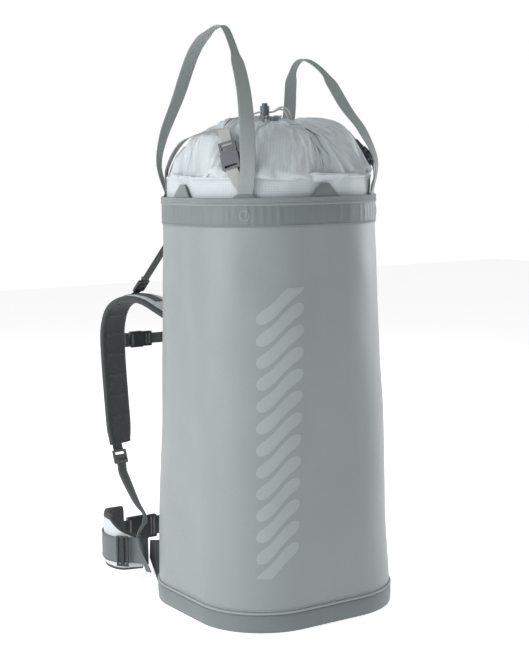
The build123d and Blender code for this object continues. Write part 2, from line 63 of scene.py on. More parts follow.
view_back = np.array([math.sin(VIEW_AZIMUTH) * math.cos(VIEW_RISE),
                      -math.cos(VIEW_AZIMUTH) * math.cos(VIEW_RISE), math.sin(VIEW_RISE)])
view_side = np.array([math.cos(VIEW_AZIMUTH), math.sin(VIEW_AZIMUTH), 0.0])
camera_data = bpy.data.cameras.new("camera")
camera_data.lens = LENS
camera_data.sensor_width = 36.0
camera_data.clip_end = 50.0
camera = bpy.data.objects.new("camera", camera_data)
bpy.context.scene.collection.objects.link(camera)
camera.location = VIEW_AIM + view_back * VIEW_AWAY + view_side * VIEW_ASIDE
camera_turn = Vector(view_back).to_track_quat("Z", "Y").to_euler()
camera.rotation_euler = camera_turn
camera.rotation_euler.rotate_axis("Z", VIEW_ROLL)
bpy.context.scene.camera = camera


def linear(red, green, blue):
    """Linear colour from 0-255 screen values."""
    screen = np.array([red, green, blue]) / 255.0
    low = screen / 12.92
    high = ((screen + 0.055) / 1.055) ** 2.4
    return tuple(np.where(screen <= 0.04045, low, high)) + (1.0,)


# ---- cords: two drawcord tails through the lock, back down into the gathers ----
CORD = 0.003
CORD_WAY = np.array([0.84, -0.54, 0.0]) / math.hypot(0.84, 0.54)
CORD_ASIDE = np.array([0.54, 0.84, 0.0]) / math.hypot(0.84, 0.54)
lock_low, lock_high = (np.array(c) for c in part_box("cord_lock_barrel"))
LOCK_AT = (lock_low + lock_high) / 2
UPPER_ROUTE = [(-26, 1, -10), (-18, 0, 0), (-1, 0, 0.3), (15, 0, 0), (24, -1, 8), (34, -2, 8), (42, -1, 1),
               (44, 0, -11)]
LOWER_ROUTE = [(-25, -1, -10), (-18, 0, 0), (-1, 0, -0.3), (15, 0, 0), (23, 1, 5), (31, 2, 4), (37, 2, -3),
               (39, 1, -12)]
CORD_PITCH = 0.0022
MM = 0.001


def drawcord(name, node, aside, route):
    """Smooth cord: a NURBS curve through the route's points, given along, beside and above the lock."""
    start = LOCK_AT + CORD_ASIDE * aside
    points = [start + (CORD_WAY * a + CORD_ASIDE * b + np.array([0, 0, c])) * MM for a, b, c in route]
    curve = bpy.data.curves.new(name, "CURVE")
    curve.dimensions = "3D"
    curve.bevel_depth = 1.0
    curve.bevel_resolution = 4
    curve.resolution_u = 10
    curve.use_fill_caps = True
    spline = curve.splines.new("NURBS")
    spline.points.add(len(points) - 1)
    for point, place in zip(spline.points, points):
        point.co = (*place, 1.0)
        point.radius = CORD / 2
    spline.order_u = 3
    spline.use_endpoint_u = True
    piece = bpy.data.objects.new(name, curve)
    bpy.context.scene.collection.objects.link(piece)
    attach(piece, "lid")
    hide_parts(node)
    return piece, tuple(points[0])


cord_pieces = []
for cord_name, cord_node, cord_aside, cord_route, cord_length in (
        ("drawcord_tail_upper", "drawcord_upper", CORD_PITCH, UPPER_ROUTE, 0.087),
        ("drawcord_tail_lower", "drawcord_lower", -CORD_PITCH, LOWER_ROUTE, 0.078)):
    cord_piece, cord_exit = drawcord(cord_name, cord_node, cord_aside, cord_route)
    cord_pieces.append(cord_piece)


# ================= shader groups and materials =================
def new_group(name, inputs, outputs):
    """Empty shader group with float inputs and named outputs."""
    group = bpy.data.node_groups.new(name, "ShaderNodeTree")
    for label, kind, value in inputs:
        socket = group.interface.new_socket(label, in_out="INPUT", socket_type=kind)
        if value is not None:
            socket.default_value = value
    for label, kind in outputs:
        group.interface.new_socket(label, in_out="OUTPUT", socket_type=kind)
    return group, group.nodes.new("NodeGroupInput"), group.nodes.new("NodeGroupOutput")


def math_node(tree, operation, first, second=None):
    """Math node fed by sockets or plain numbers; gives its output socket."""
    node = tree.nodes.new("ShaderNodeMath")
    node.operation = operation
    for slot_index, value in enumerate((first, second)):
        if value is None:
            continue
        if isinstance(value, (int, float)):
            node.inputs[slot_index].default_value = value
        else:
            tree.links.new(value, node.inputs[slot_index])
    return node.outputs[0]


def build_weave():
    """Over-and-under weave: two crossed sine ribs that swap height on a chequer, 0 to 1."""
    group, ins, outs = new_group(
        "weave", [("Vector", "NodeSocketVector", None), ("Along", "NodeSocketFloat", 800.0),
                  ("Across", "NodeSocketFloat", 800.0)], [("Height", "NodeSocketFloat")])
    split = group.nodes.new("ShaderNodeSeparateXYZ")
    group.links.new(ins.outputs["Vector"], split.inputs[0])
    u = math_node(group, "MULTIPLY", split.outputs[0], ins.outputs["Along"])
    v = math_node(group, "MULTIPLY", split.outputs[1], ins.outputs["Across"])
    rib_u = math_node(group, "ABSOLUTE", math_node(group, "SINE", math_node(group, "MULTIPLY", u, math.pi)))
    rib_v = math_node(group, "ABSOLUTE", math_node(group, "SINE", math_node(group, "MULTIPLY", v, math.pi)))
    chequer = group.nodes.new("ShaderNodeTexChecker")
    chequer.inputs["Scale"].default_value = 1.0
    chequer.inputs["Color1"].default_value = (1, 1, 1, 1)
    chequer.inputs["Color2"].default_value = (0, 0, 0, 1)
    joined = group.nodes.new("ShaderNodeCombineXYZ")
    group.links.new(u, joined.inputs[0])
    group.links.new(v, joined.inputs[1])
    joined.inputs[2].default_value = 0.5
    group.links.new(joined.outputs[0], chequer.inputs["Vector"])
    mix = group.nodes.new("ShaderNodeMix")
    group.links.new(chequer.outputs["Fac"], mix.inputs[0])
    group.links.new(rib_u, mix.inputs[2])
    group.links.new(rib_v, mix.inputs[3])
    group.links.new(mix.outputs[0], outs.inputs["Height"])
    return group


def build_tint():
    """Slow and fine colour variation: base colour scaled by two noises, plus the noise itself."""
    group, ins, outs = new_group(
        "cloth_tint", [("Vector", "NodeSocketVector", None), ("Color", "NodeSocketColor", (0.5, 0.5, 0.5, 1)),
                       ("Broad", "NodeSocketFloat", 6.0), ("Fine", "NodeSocketFloat", 220.0),
                       ("Depth", "NodeSocketFloat", 0.12)],
        [("Color", "NodeSocketColor"), ("Mask", "NodeSocketFloat")])
    broad = group.nodes.new("ShaderNodeTexNoise")
    fine = group.nodes.new("ShaderNodeTexNoise")
    for noise, scale in ((broad, "Broad"), (fine, "Fine")):
        group.links.new(ins.outputs["Vector"], noise.inputs["Vector"])
        group.links.new(ins.outputs[scale], noise.inputs["Scale"])
    both = math_node(group, "ADD", broad.outputs["Fac"], fine.outputs["Fac"])
    centred = math_node(group, "SUBTRACT", both, 1.0)
    scaled = math_node(group, "MULTIPLY", centred, ins.outputs["Depth"])
    factor = math_node(group, "ADD", scaled, 1.0)
    tint = group.nodes.new("ShaderNodeVectorMath")
    tint.operation = "SCALE"
    group.links.new(ins.outputs["Color"], tint.inputs[0])
    group.links.new(factor, tint.inputs["Scale"])
    group.links.new(tint.outputs[0], outs.inputs["Color"])
    group.links.new(both, outs.inputs["Mask"])
    return group


WEAVE = build_weave()
TINT = build_tint()


def begin_material(name, roughness, sheen=0.0):
    """Material with its tree and shader."""
    material = bpy.data.materials.new(name)
    material.use_nodes = True
    shader = material.node_tree.nodes["Principled BSDF"]
    shader.inputs["Roughness"].default_value = roughness
    shader.inputs["Sheen Weight"].default_value = sheen
    return material, material.node_tree, shader


def add_tint(tree, vector, colour, broad, fine, depth):
    """Colour variation group with its scales and depth set."""
    tint = tree.nodes.new("ShaderNodeGroup")
    tint.node_tree = TINT
    tree.links.new(vector, tint.inputs["Vector"])
    tint.inputs["Color"].default_value = colour
    tint.inputs["Broad"].default_value = broad
    tint.inputs["Fine"].default_value = fine
    tint.inputs["Depth"].default_value = depth
    return tint


def add_weave(tree, along, across):
    """Weave group on the cloth UV map, ribs to the metre each way: the map and the weave's height."""
    place = tree.nodes.new("ShaderNodeUVMap")
    place.uv_map = "cloth"
    weave = tree.nodes.new("ShaderNodeGroup")
    weave.node_tree = WEAVE
    tree.links.new(place.outputs[0], weave.inputs["Vector"])
    weave.inputs["Along"].default_value = along
    weave.inputs["Across"].default_value = across
    return place.outputs[0], weave.outputs[0]


def add_bump(tree, shader, height, strength, distance):
    """Bump from a height, joined to the shader's normal."""
    bump = tree.nodes.new("ShaderNodeBump")
    bump.inputs["Strength"].default_value = strength
    bump.inputs["Distance"].default_value = distance
    tree.links.new(height, bump.inputs["Height"])
    tree.links.new(bump.outputs[0], shader.inputs["Normal"])


def woven_material(name, colour, along, across, roughness=0.8, sheen=0.15, depth=0.14, relief=0.0004,
                   shade=0.25):
    """Woven cloth or webbing on the cloth UV map, metres along and across."""
    material, tree, shader = begin_material(name, roughness, sheen)
    place, height = add_weave(tree, along, across)
    tint = add_tint(tree, place, colour, 9.0, 600.0, depth)
    dark = tree.nodes.new("ShaderNodeMix")
    dark.data_type = "RGBA"
    dark.blend_type = "MULTIPLY"
    tree.links.new(tint.outputs["Color"], dark.inputs[6])
    hollow = math_node(tree, "ADD", math_node(tree, "MULTIPLY", height, shade), 1.0 - shade)
    grey = tree.nodes.new("ShaderNodeCombineColor")
    for channel in range(3):
        tree.links.new(hollow, grey.inputs[channel])
    tree.links.new(grey.outputs[0], dark.inputs[7])
    dark.inputs[0].default_value = 1.0
    tree.links.new(dark.outputs[2], shader.inputs["Base Color"])
    add_bump(tree, shader, height, 0.6, relief)
    return material


def tarp_material(name, colour, roughness=0.42, depth=0.07, sheen=0.1):
    """Coated tarpaulin: a faint scrim shows through, with soft cloudy gloss and scuffs."""
    material, tree, shader = begin_material(name, roughness, sheen)
    place, height = add_weave(tree, 620.0, 620.0)
    tint = add_tint(tree, place, colour, 7.0, 160.0, depth)
    tree.links.new(tint.outputs["Color"], shader.inputs["Base Color"])
    scuff = tree.nodes.new("ShaderNodeTexNoise")
    scuff.inputs["Scale"].default_value = 28.0
    scuff.inputs["Detail"].default_value = 6.0
    tree.links.new(place, scuff.inputs["Vector"])
    rough = math_node(tree, "ADD", math_node(tree, "MULTIPLY", scuff.outputs["Fac"], 0.22), roughness - 0.1)
    tree.links.new(rough, shader.inputs["Roughness"])
    grain = math_node(tree, "ADD", math_node(tree, "MULTIPLY", height, 0.5), scuff.outputs["Fac"])
    add_bump(tree, shader, grain, 0.25, 0.0006)
    return material


RIPSTOP_CELLS = 260.0
RIPSTOP_DARK = 0.5


def ripstop_material(name, colour):
    """Thin ripstop: fine plain weave with raised double threads about every four millimetres."""
    material, tree, shader = begin_material(name, 0.55, 0.25)
    place, weave = add_weave(tree, 1600.0, 1600.0)
    split = tree.nodes.new("ShaderNodeSeparateXYZ")
    tree.links.new(place, split.inputs[0])
    lines = []
    for axis in range(2):
        cell = math_node(tree, "MULTIPLY", split.outputs[axis], RIPSTOP_CELLS)
        wave = math_node(tree, "FRACT", cell)
        near = math_node(tree, "ABSOLUTE", math_node(tree, "SUBTRACT", wave, 0.5))
        lines.append(math_node(tree, "GREATER_THAN", near, 0.42))
    grid = math_node(tree, "MAXIMUM", lines[0], lines[1])
    tint = add_tint(tree, place, colour, 14.0, 400.0, 0.06)
    mix = tree.nodes.new("ShaderNodeMix")
    mix.data_type = "RGBA"
    tree.links.new(math_node(tree, "MULTIPLY", grid, RIPSTOP_DARK), mix.inputs[0])
    tree.links.new(tint.outputs["Color"], mix.inputs[6])
    mix.inputs[7].default_value = linear(170, 178, 184)
    tree.links.new(mix.outputs[2], shader.inputs["Base Color"])
    height = math_node(tree, "ADD", math_node(tree, "MULTIPLY", weave, 0.4), grid)
    add_bump(tree, shader, height, 0.5, 0.0003)
    return material


def plastic_material(name, colour, roughness=0.38):
    """Moulded nylon: fine spark texture, convex edges a little lighter."""
    material, tree, shader = begin_material(name, roughness)
    place = tree.nodes.new("ShaderNodeTexCoord")
    tint = add_tint(tree, place.outputs["Object"], colour, 40.0, 900.0, 0.25)
    edge = tree.nodes.new("ShaderNodeNewGeometry")
    # Convex edges, where pointiness is above one half, are mixed towards a lighter colour.
    edge_lighten = math_node(tree, "MULTIPLY", math_node(tree, "SUBTRACT", edge.outputs["Pointiness"], 0.5), 6.0)
    clamp = tree.nodes.new("ShaderNodeClamp")
    tree.links.new(edge_lighten, clamp.inputs[0])
    mix = tree.nodes.new("ShaderNodeMix")
    mix.data_type = "RGBA"
    tree.links.new(clamp.outputs[0], mix.inputs[0])
    tree.links.new(tint.outputs["Color"], mix.inputs[6])
    mix.inputs[7].default_value = tuple(min(1.0, 3 * c + 0.03) for c in colour[:3]) + (1.0,)
    tree.links.new(mix.outputs[2], shader.inputs["Base Color"])
    grain = tree.nodes.new("ShaderNodeTexNoise")
    grain.inputs["Scale"].default_value = 1400.0
    tree.links.new(place.outputs["Object"], grain.inputs["Vector"])
    add_bump(tree, shader, grain.outputs["Fac"], 0.3, 0.0002)
    return material


TARP = tarp_material("tarp", linear(138, 145, 146))
TARP_DARK = tarp_material("tarp_dark", linear(112, 120, 122), roughness=0.5)
PRINT = tarp_material("tarp_print", linear(153, 160, 161), roughness=0.5, sheen=0.0)
BINDING = woven_material("binding", linear(134, 142, 143), 900.0, 900.0)
PIPING = woven_material("piping", linear(160, 167, 168), 900.0, 900.0)
HANDLE_WEB = woven_material("handle_web", linear(146, 156, 154), 420.0, 520.0, relief=0.0005)
LID_WEB = woven_material("lid_web", linear(170, 174, 173), 420.0, 560.0)
DARK_WEB = woven_material("dark_web", linear(78, 86, 86), 420.0, 520.0)
BELT_WEB = woven_material("belt_web", linear(112, 119, 121), 380.0, 480.0)
MESH_PAD = woven_material("spacer_mesh", linear(58, 60, 62), 330.0, 330.0, relief=0.0012, shade=0.55)
FIN_CLOTH = woven_material("fin_cloth", linear(212, 218, 221), 900.0, 900.0, relief=0.0003, shade=0.12)
EDGE_BIND = woven_material("edge_binding", linear(60, 63, 64), 700.0, 700.0)
RIPSTOP = ripstop_material("ripstop", linear(196, 204, 208))
THREAD = woven_material("thread", linear(198, 203, 203), 2500.0, 2500.0)
DARK_THREAD = woven_material("dark_thread", linear(120, 126, 126), 2500.0, 2500.0)
PLASTIC = plastic_material("nylon_grey", linear(52, 57, 61))
PLASTIC_BLACK = plastic_material("nylon_black", linear(26, 28, 30))


def braid_material(name, colour):
    """Braided sheath on object coordinates: two crossed sets of fine slanted ribs."""
    material, tree, shader = begin_material(name, 0.7, 0.2)
    place = tree.nodes.new("ShaderNodeTexCoord")
    tint = add_tint(tree, place.outputs["Object"], colour, 60.0, 900.0, 0.12)
    split = tree.nodes.new("ShaderNodeSeparateXYZ")
    tree.links.new(place.outputs["Object"], split.inputs[0])
    ribs = []
    for sign in (1.0, -1.0):
        slant = math_node(tree, "ADD", math_node(tree, "MULTIPLY", split.outputs[0], 4200.0),
                          math_node(tree, "MULTIPLY", split.outputs[2], 4200.0 * sign))
        ribs.append(math_node(tree, "ABSOLUTE", math_node(tree, "SINE", slant)))
    braid = math_node(tree, "MAXIMUM", ribs[0], ribs[1])
    tree.links.new(tint.outputs["Color"], shader.inputs["Base Color"])
    add_bump(tree, shader, braid, 0.6, 0.0004)
    return material


CORD_SHEATH = braid_material("cord_sheath", linear(188, 187, 187))
for cord_piece in cord_pieces:
    cord_piece.data.materials.append(CORD_SHEATH)


# ================= shapes worked out as whole arrays =================
def put_mesh(name, points, faces, uvs, material, body, smooth=True):
    """Mesh object from vertex places, faces and one UV pair for each vertex, riding on a body."""
    mesh = bpy.data.meshes.new(name)
    mesh.from_pydata(points.tolist(), [], faces)
    layer = mesh.uv_layers.new(name="cloth")
    corners = np.zeros(len(mesh.loops), dtype=np.int32)
    mesh.loops.foreach_get("vertex_index", corners)
    layer.data.foreach_set("uv", uvs[corners].astype(np.float32).ravel())
    mesh.materials.append(material)
    if smooth:
        mesh.polygons.foreach_set("use_smooth", np.ones(len(mesh.polygons), dtype=bool))
    mesh.update()
    piece = bpy.data.objects.new(name, mesh)
    bpy.context.scene.collection.objects.link(piece)
    if body:
        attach(piece, body)
    return piece


def grid_faces(rows, columns, wrap_rows=False, wrap_columns=False):
    """Quads of a rows by columns grid, optionally closed either way."""
    row = np.arange(rows if wrap_rows else rows - 1)
    column = np.arange(columns if wrap_columns else columns - 1)
    r, c = np.meshgrid(row, column, indexing="ij")
    r2, c2 = (r + 1) % rows, (c + 1) % columns
    quads = np.stack([r * columns + c, r * columns + c2, r2 * columns + c2, r2 * columns + c], axis=-1)
    return quads.reshape(-1, 4)


def capped_faces(rows, columns):
    """Faces of a grid closed round, with one cap on its first ring and one on its last."""
    faces = grid_faces(rows, columns, wrap_columns=True).tolist()
    faces.append(list(range(columns))[::-1])
    faces.append([(rows - 1) * columns + k for k in range(columns)])
    return faces


def smooth_path(points, count):
    """Catmull-Rom curve through the points, sampled evenly by length."""
    knots = np.asarray(points, dtype=float)
    ends = np.vstack([2 * knots[0] - knots[1], knots, 2 * knots[-1] - knots[-2]])
    t = np.linspace(0, 1, 24, endpoint=False)[:, None]
    spans = []
    for p0, p1, p2, p3 in zip(ends, ends[1:], ends[2:], ends[3:]):
        spans.append(0.5 * (2 * p1 + (p2 - p0) * t + (2 * p0 - 5 * p1 + 4 * p2 - p3) * t ** 2
                            + (3 * p1 - p0 - 3 * p2 + p3) * t ** 3))
    dense = np.vstack(spans + [knots[-1:]])
    length = np.concatenate([[0], np.cumsum(np.linalg.norm(np.diff(dense, axis=0), axis=1))])
    even = np.linspace(0, length[-1], count)
    return np.stack([np.interp(even, length, dense[:, k]) for k in range(3)], axis=1), even


def unit(vectors):
    """Vectors scaled to length one."""
    return vectors / np.maximum(np.linalg.norm(vectors, axis=-1, keepdims=True), 1e-12)


def path_frames(points, across, count):
    """Stations on a smooth path with the unit directions along, across and out of the strap.
    across holds one or more directions spread evenly along the path."""
    place, length = smooth_path(points, count)
    along = unit(np.gradient(place, axis=0))
    guides = np.atleast_2d(np.asarray(across, dtype=float))
    share = np.linspace(0, len(guides) - 1, count)
    wide = np.stack([np.interp(share, np.arange(len(guides)), guides[:, k]) for k in range(3)], axis=1)
    wide = unit(wide - along * np.sum(wide * along, axis=1, keepdims=True))
    return place, along, wide, np.cross(wide, along), length


def strap_profile(width, thick, edge_points=4):
    """Closed outline of a webbing section: flat faces and round selvedges. Across, out."""
    radius = thick / 2
    turn = np.linspace(-math.pi / 2, math.pi / 2, edge_points + 1)
    flat = np.linspace(-width / 2 + radius, width / 2 - radius, 7)
    top = np.stack([flat[::-1], np.full(7, radius)], axis=1)
    low = np.stack([flat, np.full(7, -radius)], axis=1)
    right = np.stack([width / 2 - radius + radius * np.cos(turn), radius * np.sin(turn)], axis=1)[1:-1]
    left = np.stack([-width / 2 + radius - radius * np.cos(turn), -radius * np.sin(turn)], axis=1)[1:-1]
    return np.vstack([low, right, top, left])


def carried(name, frames, profile, material, body, narrow=None, lift=None):
    """Profile carried along a path: each station is the profile laid in the across and out
    directions. narrow scales it across and lift moves it outwards, one value for each station."""
    place, _, wide, out, length = frames
    scale = np.ones(len(place)) if narrow is None else narrow
    raised = np.zeros(len(place)) if lift is None else lift
    a = profile[None, :, 0] * scale[:, None]
    n = profile[None, :, 1] + raised[:, None]
    rings = place[:, None] + wide[:, None] * a[..., None] + out[:, None] * n[..., None]
    count, around = rings.shape[:2]
    faces = capped_faces(count, around)
    girth = np.concatenate([[0], np.cumsum(np.linalg.norm(np.diff(profile, axis=0), axis=1))])
    uvs = np.stack(np.broadcast_arrays(length[:, None], girth[None]), axis=-1).reshape(-1, 2)
    piece = put_mesh(name, rings.reshape(-1, 3), faces, uvs, material, body)
    face_out(piece)
    return piece


def face_out(piece):
    """Turns every face of a closed piece outwards."""
    work = bmesh.new()
    work.from_mesh(piece.data)
    bmesh.ops.recalc_face_normals(work, faces=work.faces)
    work.to_mesh(piece.data)
    work.free()


def stitches(name, place, along, out, body, slot_name, material, pitch=0.0042, long=0.0030,
             radius=0.00038, lift=0.0003):
    """Row of thread stitches: small eight-sided bodies laid end to end on a line of stations."""
    step = np.concatenate([[0], np.cumsum(np.linalg.norm(np.diff(place, axis=0), axis=1))])
    at = np.arange(pitch / 2, step[-1], pitch)
    centre = np.stack([np.interp(at, step, place[:, k]) for k in range(3)], axis=1)
    way = unit(np.stack([np.interp(at, step, along[:, k]) for k in range(3)], axis=1))
    up = unit(np.stack([np.interp(at, step, out[:, k]) for k in range(3)], axis=1))
    side = np.cross(way, up)
    ring = np.array([(1, 0), (0.3, 1), (-0.3, 1), (-1, 0), (0, -0.6)])
    lengths = np.array([-0.5, -0.25, 0.25, 0.5]) * long
    swell = np.array([0.35, 1.0, 1.0, 0.35]) * radius
    verts = (centre[:, None, None] + up[:, None, None] * lift
             + way[:, None, None] * lengths[None, :, None, None]
             + side[:, None, None] * (ring[None, None, :, 0] * swell[None, :, None])[..., None]
             + up[:, None, None] * (ring[None, None, :, 1] * swell[None, :, None])[..., None])
    one = grid_faces(4, 5, wrap_columns=True)
    faces = (one[None] + 20 * np.arange(len(at))[:, None, None]).reshape(-1, 4).tolist()
    for k in range(len(at)):
        faces.append([20 * k + j for j in range(5)][::-1])
        faces.append([20 * k + 15 + j for j in range(5)])
    points = verts.reshape(-1, 3)
    uvs = np.stack([points[:, 0] + points[:, 1], points[:, 2]], axis=1)
    piece = put_mesh(name, points, faces, uvs, material, body, smooth=False)
    face_out(piece)
    return piece


# ================= the tube's outline, read from the frame =================
def box(node):
    low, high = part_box(node)
    return np.array(low), np.array(high)


tube_low, tube_high = box("body_tube")
binding_low, binding_high = box("collar_binding")
band_low, band_high = box("collar_band")
base_low, base_high = box("base_band")
piping_low, piping_high = box("base_piping")
BASE_HALF = tube_high[0]
TOP_HALF = binding_high[0] - 0.0013
COLLAR_TOP = tube_high[2]
BASE_CORNER, TOP_CORNER = 0.120, 0.145
TAPER_LOW, TAPER_HIGH = 0.040, 0.630
TURN_POINTS = 320
TUBE_GIRTH = 4 * 0.30


def rounded_square(share, half, corner):
    """Place and outward direction on a rounded square, share 0 to 1 counter-clockwise from the
    middle of the front side. Straights take a fixed part of each side, so rings line up."""
    quarter = np.floor(share * 4 + 0.5)
    s = share * 4 - quarter
    straight = 0.16
    inner = half - corner
    flat = np.clip(s / straight, -1, 1) * inner
    bend = np.sign(s) * np.clip((np.abs(s) - straight) / (0.5 - straight), 0, 1) * math.pi / 4
    x = flat + corner * np.sin(bend)
    y = -inner - corner * np.cos(bend)
    turn = quarter * math.pi / 2
    cos, sin = np.cos(turn), np.sin(turn)
    place = np.stack([x * cos - y * sin, x * sin + y * cos], axis=-1)
    facing = np.stack([np.sin(bend) * cos + np.cos(bend) * sin,
                       np.sin(bend) * sin - np.cos(bend) * cos], axis=-1)
    return place, facing


def tube_surface(share, z, out):
    """Point and outward direction on the bag's wall at a share round and a height, moved out."""
    rise = np.clip((z - TAPER_LOW) / (TAPER_HIGH - TAPER_LOW), 0, 1)
    half = BASE_HALF + (TOP_HALF - BASE_HALF) * rise
    corner = BASE_CORNER + (TOP_CORNER - BASE_CORNER) * rise
    place, facing = rounded_square(share, half, corner)
    flat = place + facing * np.asarray(out)[..., None]
    normal = np.concatenate([facing, np.zeros_like(facing[..., :1])], axis=-1)
    return np.concatenate([flat, np.broadcast_to(z, share.shape)[..., None]], axis=-1), normal


def dents(share, z):
    """Soft waves of hanging tarpaulin: a few long sine swells that die out at both ends."""
    turn = share * 2 * math.pi
    ends = np.clip((z - 0.04) / 0.12, 0, 1) * np.clip((0.655 - z) / 0.09, 0, 1)
    swell = (0.0016 * np.sin(3 * turn + 9 * z) * np.sin(11 * z + 1.0)
             + 0.0011 * np.sin(5 * turn - 14 * z + 2.0)
             + 0.0006 * np.sin(9 * turn + 23 * z + 0.7) * np.sin(17 * z)
             + 0.0010 * np.exp(-((z - 0.60) / 0.05) ** 2) * np.sin(14 * turn + 1.3))
    return swell * ends


def wall_ring(name, heights, outs, material, body, thick, nodes, columns=TURN_POINTS):
    """Closed wall that follows the tube: outer rows up, inner rows down, joined at both rims."""
    share = np.linspace(0, 1, columns, endpoint=False)
    outer = np.stack([tube_surface(share, z, o)[0] for z, o in zip(heights, outs)])
    inner = np.stack([tube_surface(share, z, o - thick)[0] for z, o in zip(heights, outs)])[::-1]
    rows = np.concatenate([outer, inner])
    faces = grid_faces(len(rows), columns, wrap_rows=True, wrap_columns=True)[:, ::-1].tolist()
    girth = TUBE_GIRTH * share
    v = np.concatenate([heights, heights[::-1]])
    uvs = np.stack(np.broadcast_arrays(girth[None], v[:, None]), axis=-1).reshape(-1, 2)
    piece = put_mesh(name, rows.reshape(-1, 3), faces, uvs, material, body)
    face_out(piece)
    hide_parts(*nodes)
    return piece


def ring_stitches(name, z, out, body="bag", material=THREAD, **sizes):
    """Stitch line round the tube at one height."""
    share = np.linspace(0, 1, 600)
    place, facing = tube_surface(share, np.full(600, z), np.full(600, out))
    along = unit(np.gradient(place, axis=0))
    return stitches(name, place, along, facing, body, "piping", material, **sizes)


# ---- tube wall ----
share = np.linspace(0, 1, TURN_POINTS, endpoint=False)
tube_z = np.concatenate([np.linspace(tube_low[2], 0.06, 8), np.linspace(0.06, COLLAR_TOP, 130)[1:]])
tube_out = [dents(share, z) for z in tube_z]
wall_ring("tarp_tube", tube_z, tube_out, TARP, "bag", 0.0016, ["body_tube"])

# ---- collar: a darker band with short upright puckers, bound along the top ----
rng = np.random.default_rng(7)
PUCKERS = 96
pucker_at = (np.arange(PUCKERS) + rng.uniform(-0.35, 0.35, PUCKERS)) / PUCKERS
pucker_size = rng.uniform(0.2, 1.0, PUCKERS)
pucker_width = rng.uniform(0.0016, 0.0034, PUCKERS)


def puckers(share):
    """Sum of narrow bells at uneven places round the collar, 0 to about 1."""
    gap = (share[:, None] - pucker_at[None] + 0.5) % 1 - 0.5
    return np.sum(pucker_size * np.exp(-(gap / pucker_width) ** 2), axis=1)


collar_share = np.linspace(0, 1, 960, endpoint=False)
collar_pucker = puckers(collar_share)
band_z = np.linspace(band_low[2], band_high[2] + 0.002, 14)
band_bell = np.sin(np.linspace(0.25, math.pi - 0.3, 14))
collar_outs = [0.0013 + 0.0010 * bell * collar_pucker + 0.0004 * bell for bell in band_bell]
wall_ring("collar_band_cloth", band_z, collar_outs, TARP_DARK, "bag", 0.0011,
          ["collar_band"], columns=960)
binding_z = np.linspace(binding_low[2], binding_high[2] + 0.0006, 12)
roll = np.sin(np.linspace(0, 2 * math.pi, 12)) ** 2
binding_outs = [np.full(TURN_POINTS, 0.0020 + 0.0011 * r) for r in roll]
wall_ring("collar_binding_tape", binding_z, binding_outs, BINDING, "bag", 0.0018,
          ["collar_binding"])
for index, height in enumerate((binding_low[2] + 0.0008, (binding_low[2] + binding_high[2]) / 2,
                                binding_high[2] - 0.0010)):
    ring_stitches("binding_stitch_%d" % index, height, 0.0021)
ring_stitches("collar_stitch_low", band_low[2] + 0.0035, 0.0018, material=DARK_THREAD)

# ---- base: band, round piping and a bottom panel ----
base_z = np.linspace(base_low[2] + 0.0002, base_high[2], 14)
base_bulge = 0.0016 + 0.0012 * np.sin(np.linspace(0.1, math.pi, 14))
wall_ring("base_band_cloth", base_z, [np.full(TURN_POINTS, b) for b in base_bulge], TARP_DARK, "bag",
          0.0016, ["base_band"])
piping_turn = np.linspace(-math.pi / 2, math.pi / 2, 9)
piping_mid = (piping_low[2] + piping_high[2]) / 2
piping_r = (piping_high[2] - piping_low[2]) / 2 + 0.0003
wall_ring("base_piping_cord", piping_mid + piping_r * np.sin(piping_turn),
          [np.full(TURN_POINTS, 0.0009 + piping_r * math.cos(a)) for a in piping_turn], PIPING, "bag",
          0.0008, ["base_piping"])
ring_stitches("piping_stitch", piping_low[2] - 0.0018, 0.0026, material=DARK_THREAD)
ring_stitches("base_stitch", piping_high[2] + 0.0022, 0.0004)


def bottom_panel():
    """Disc of rings that shrink to the middle: each ring is the base outline scaled, flat on the ground below
    and flat on top."""
    rings = np.concatenate([np.linspace(0.02, 0.97, 22), [0.99, 1.0]])
    place, _ = rounded_square(share, BASE_HALF, BASE_CORNER)
    top, low = box("base_panel")[1][2], box("base_panel")[0][2]
    under = [np.column_stack([place * r, np.full(len(share), low)]) for r in rings]
    over = [np.column_stack([place * r, np.full(len(share), top)]) for r in rings[::-1]]
    rows = np.stack(under + over)
    faces = capped_faces(len(rows), len(share))
    points = rows.reshape(-1, 3)
    piece = put_mesh("base_panel_cloth", points, faces, points[:, :2].copy(), TARP_DARK, "bag")
    face_out(piece)
    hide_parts("base_panel")


bottom_panel()

# ---- tabs that stand on the collar's rim ----
FLAT_SHARE = 0.16


def share_along(distance):
    """Share round the tube at a distance in metres from the middle of a side, at the collar."""
    inner = TOP_HALF - TOP_CORNER
    arc = TOP_CORNER * math.pi / 4
    bend = FLAT_SHARE + (np.abs(distance) - inner) / arc * (0.5 - FLAT_SHARE)
    flat = FLAT_SHARE * np.abs(distance) / inner
    return np.sign(distance) * np.where(np.abs(distance) < inner, flat, bend) / 4


HALF_SIDE = TOP_HALF - TOP_CORNER + TOP_CORNER * math.pi / 4


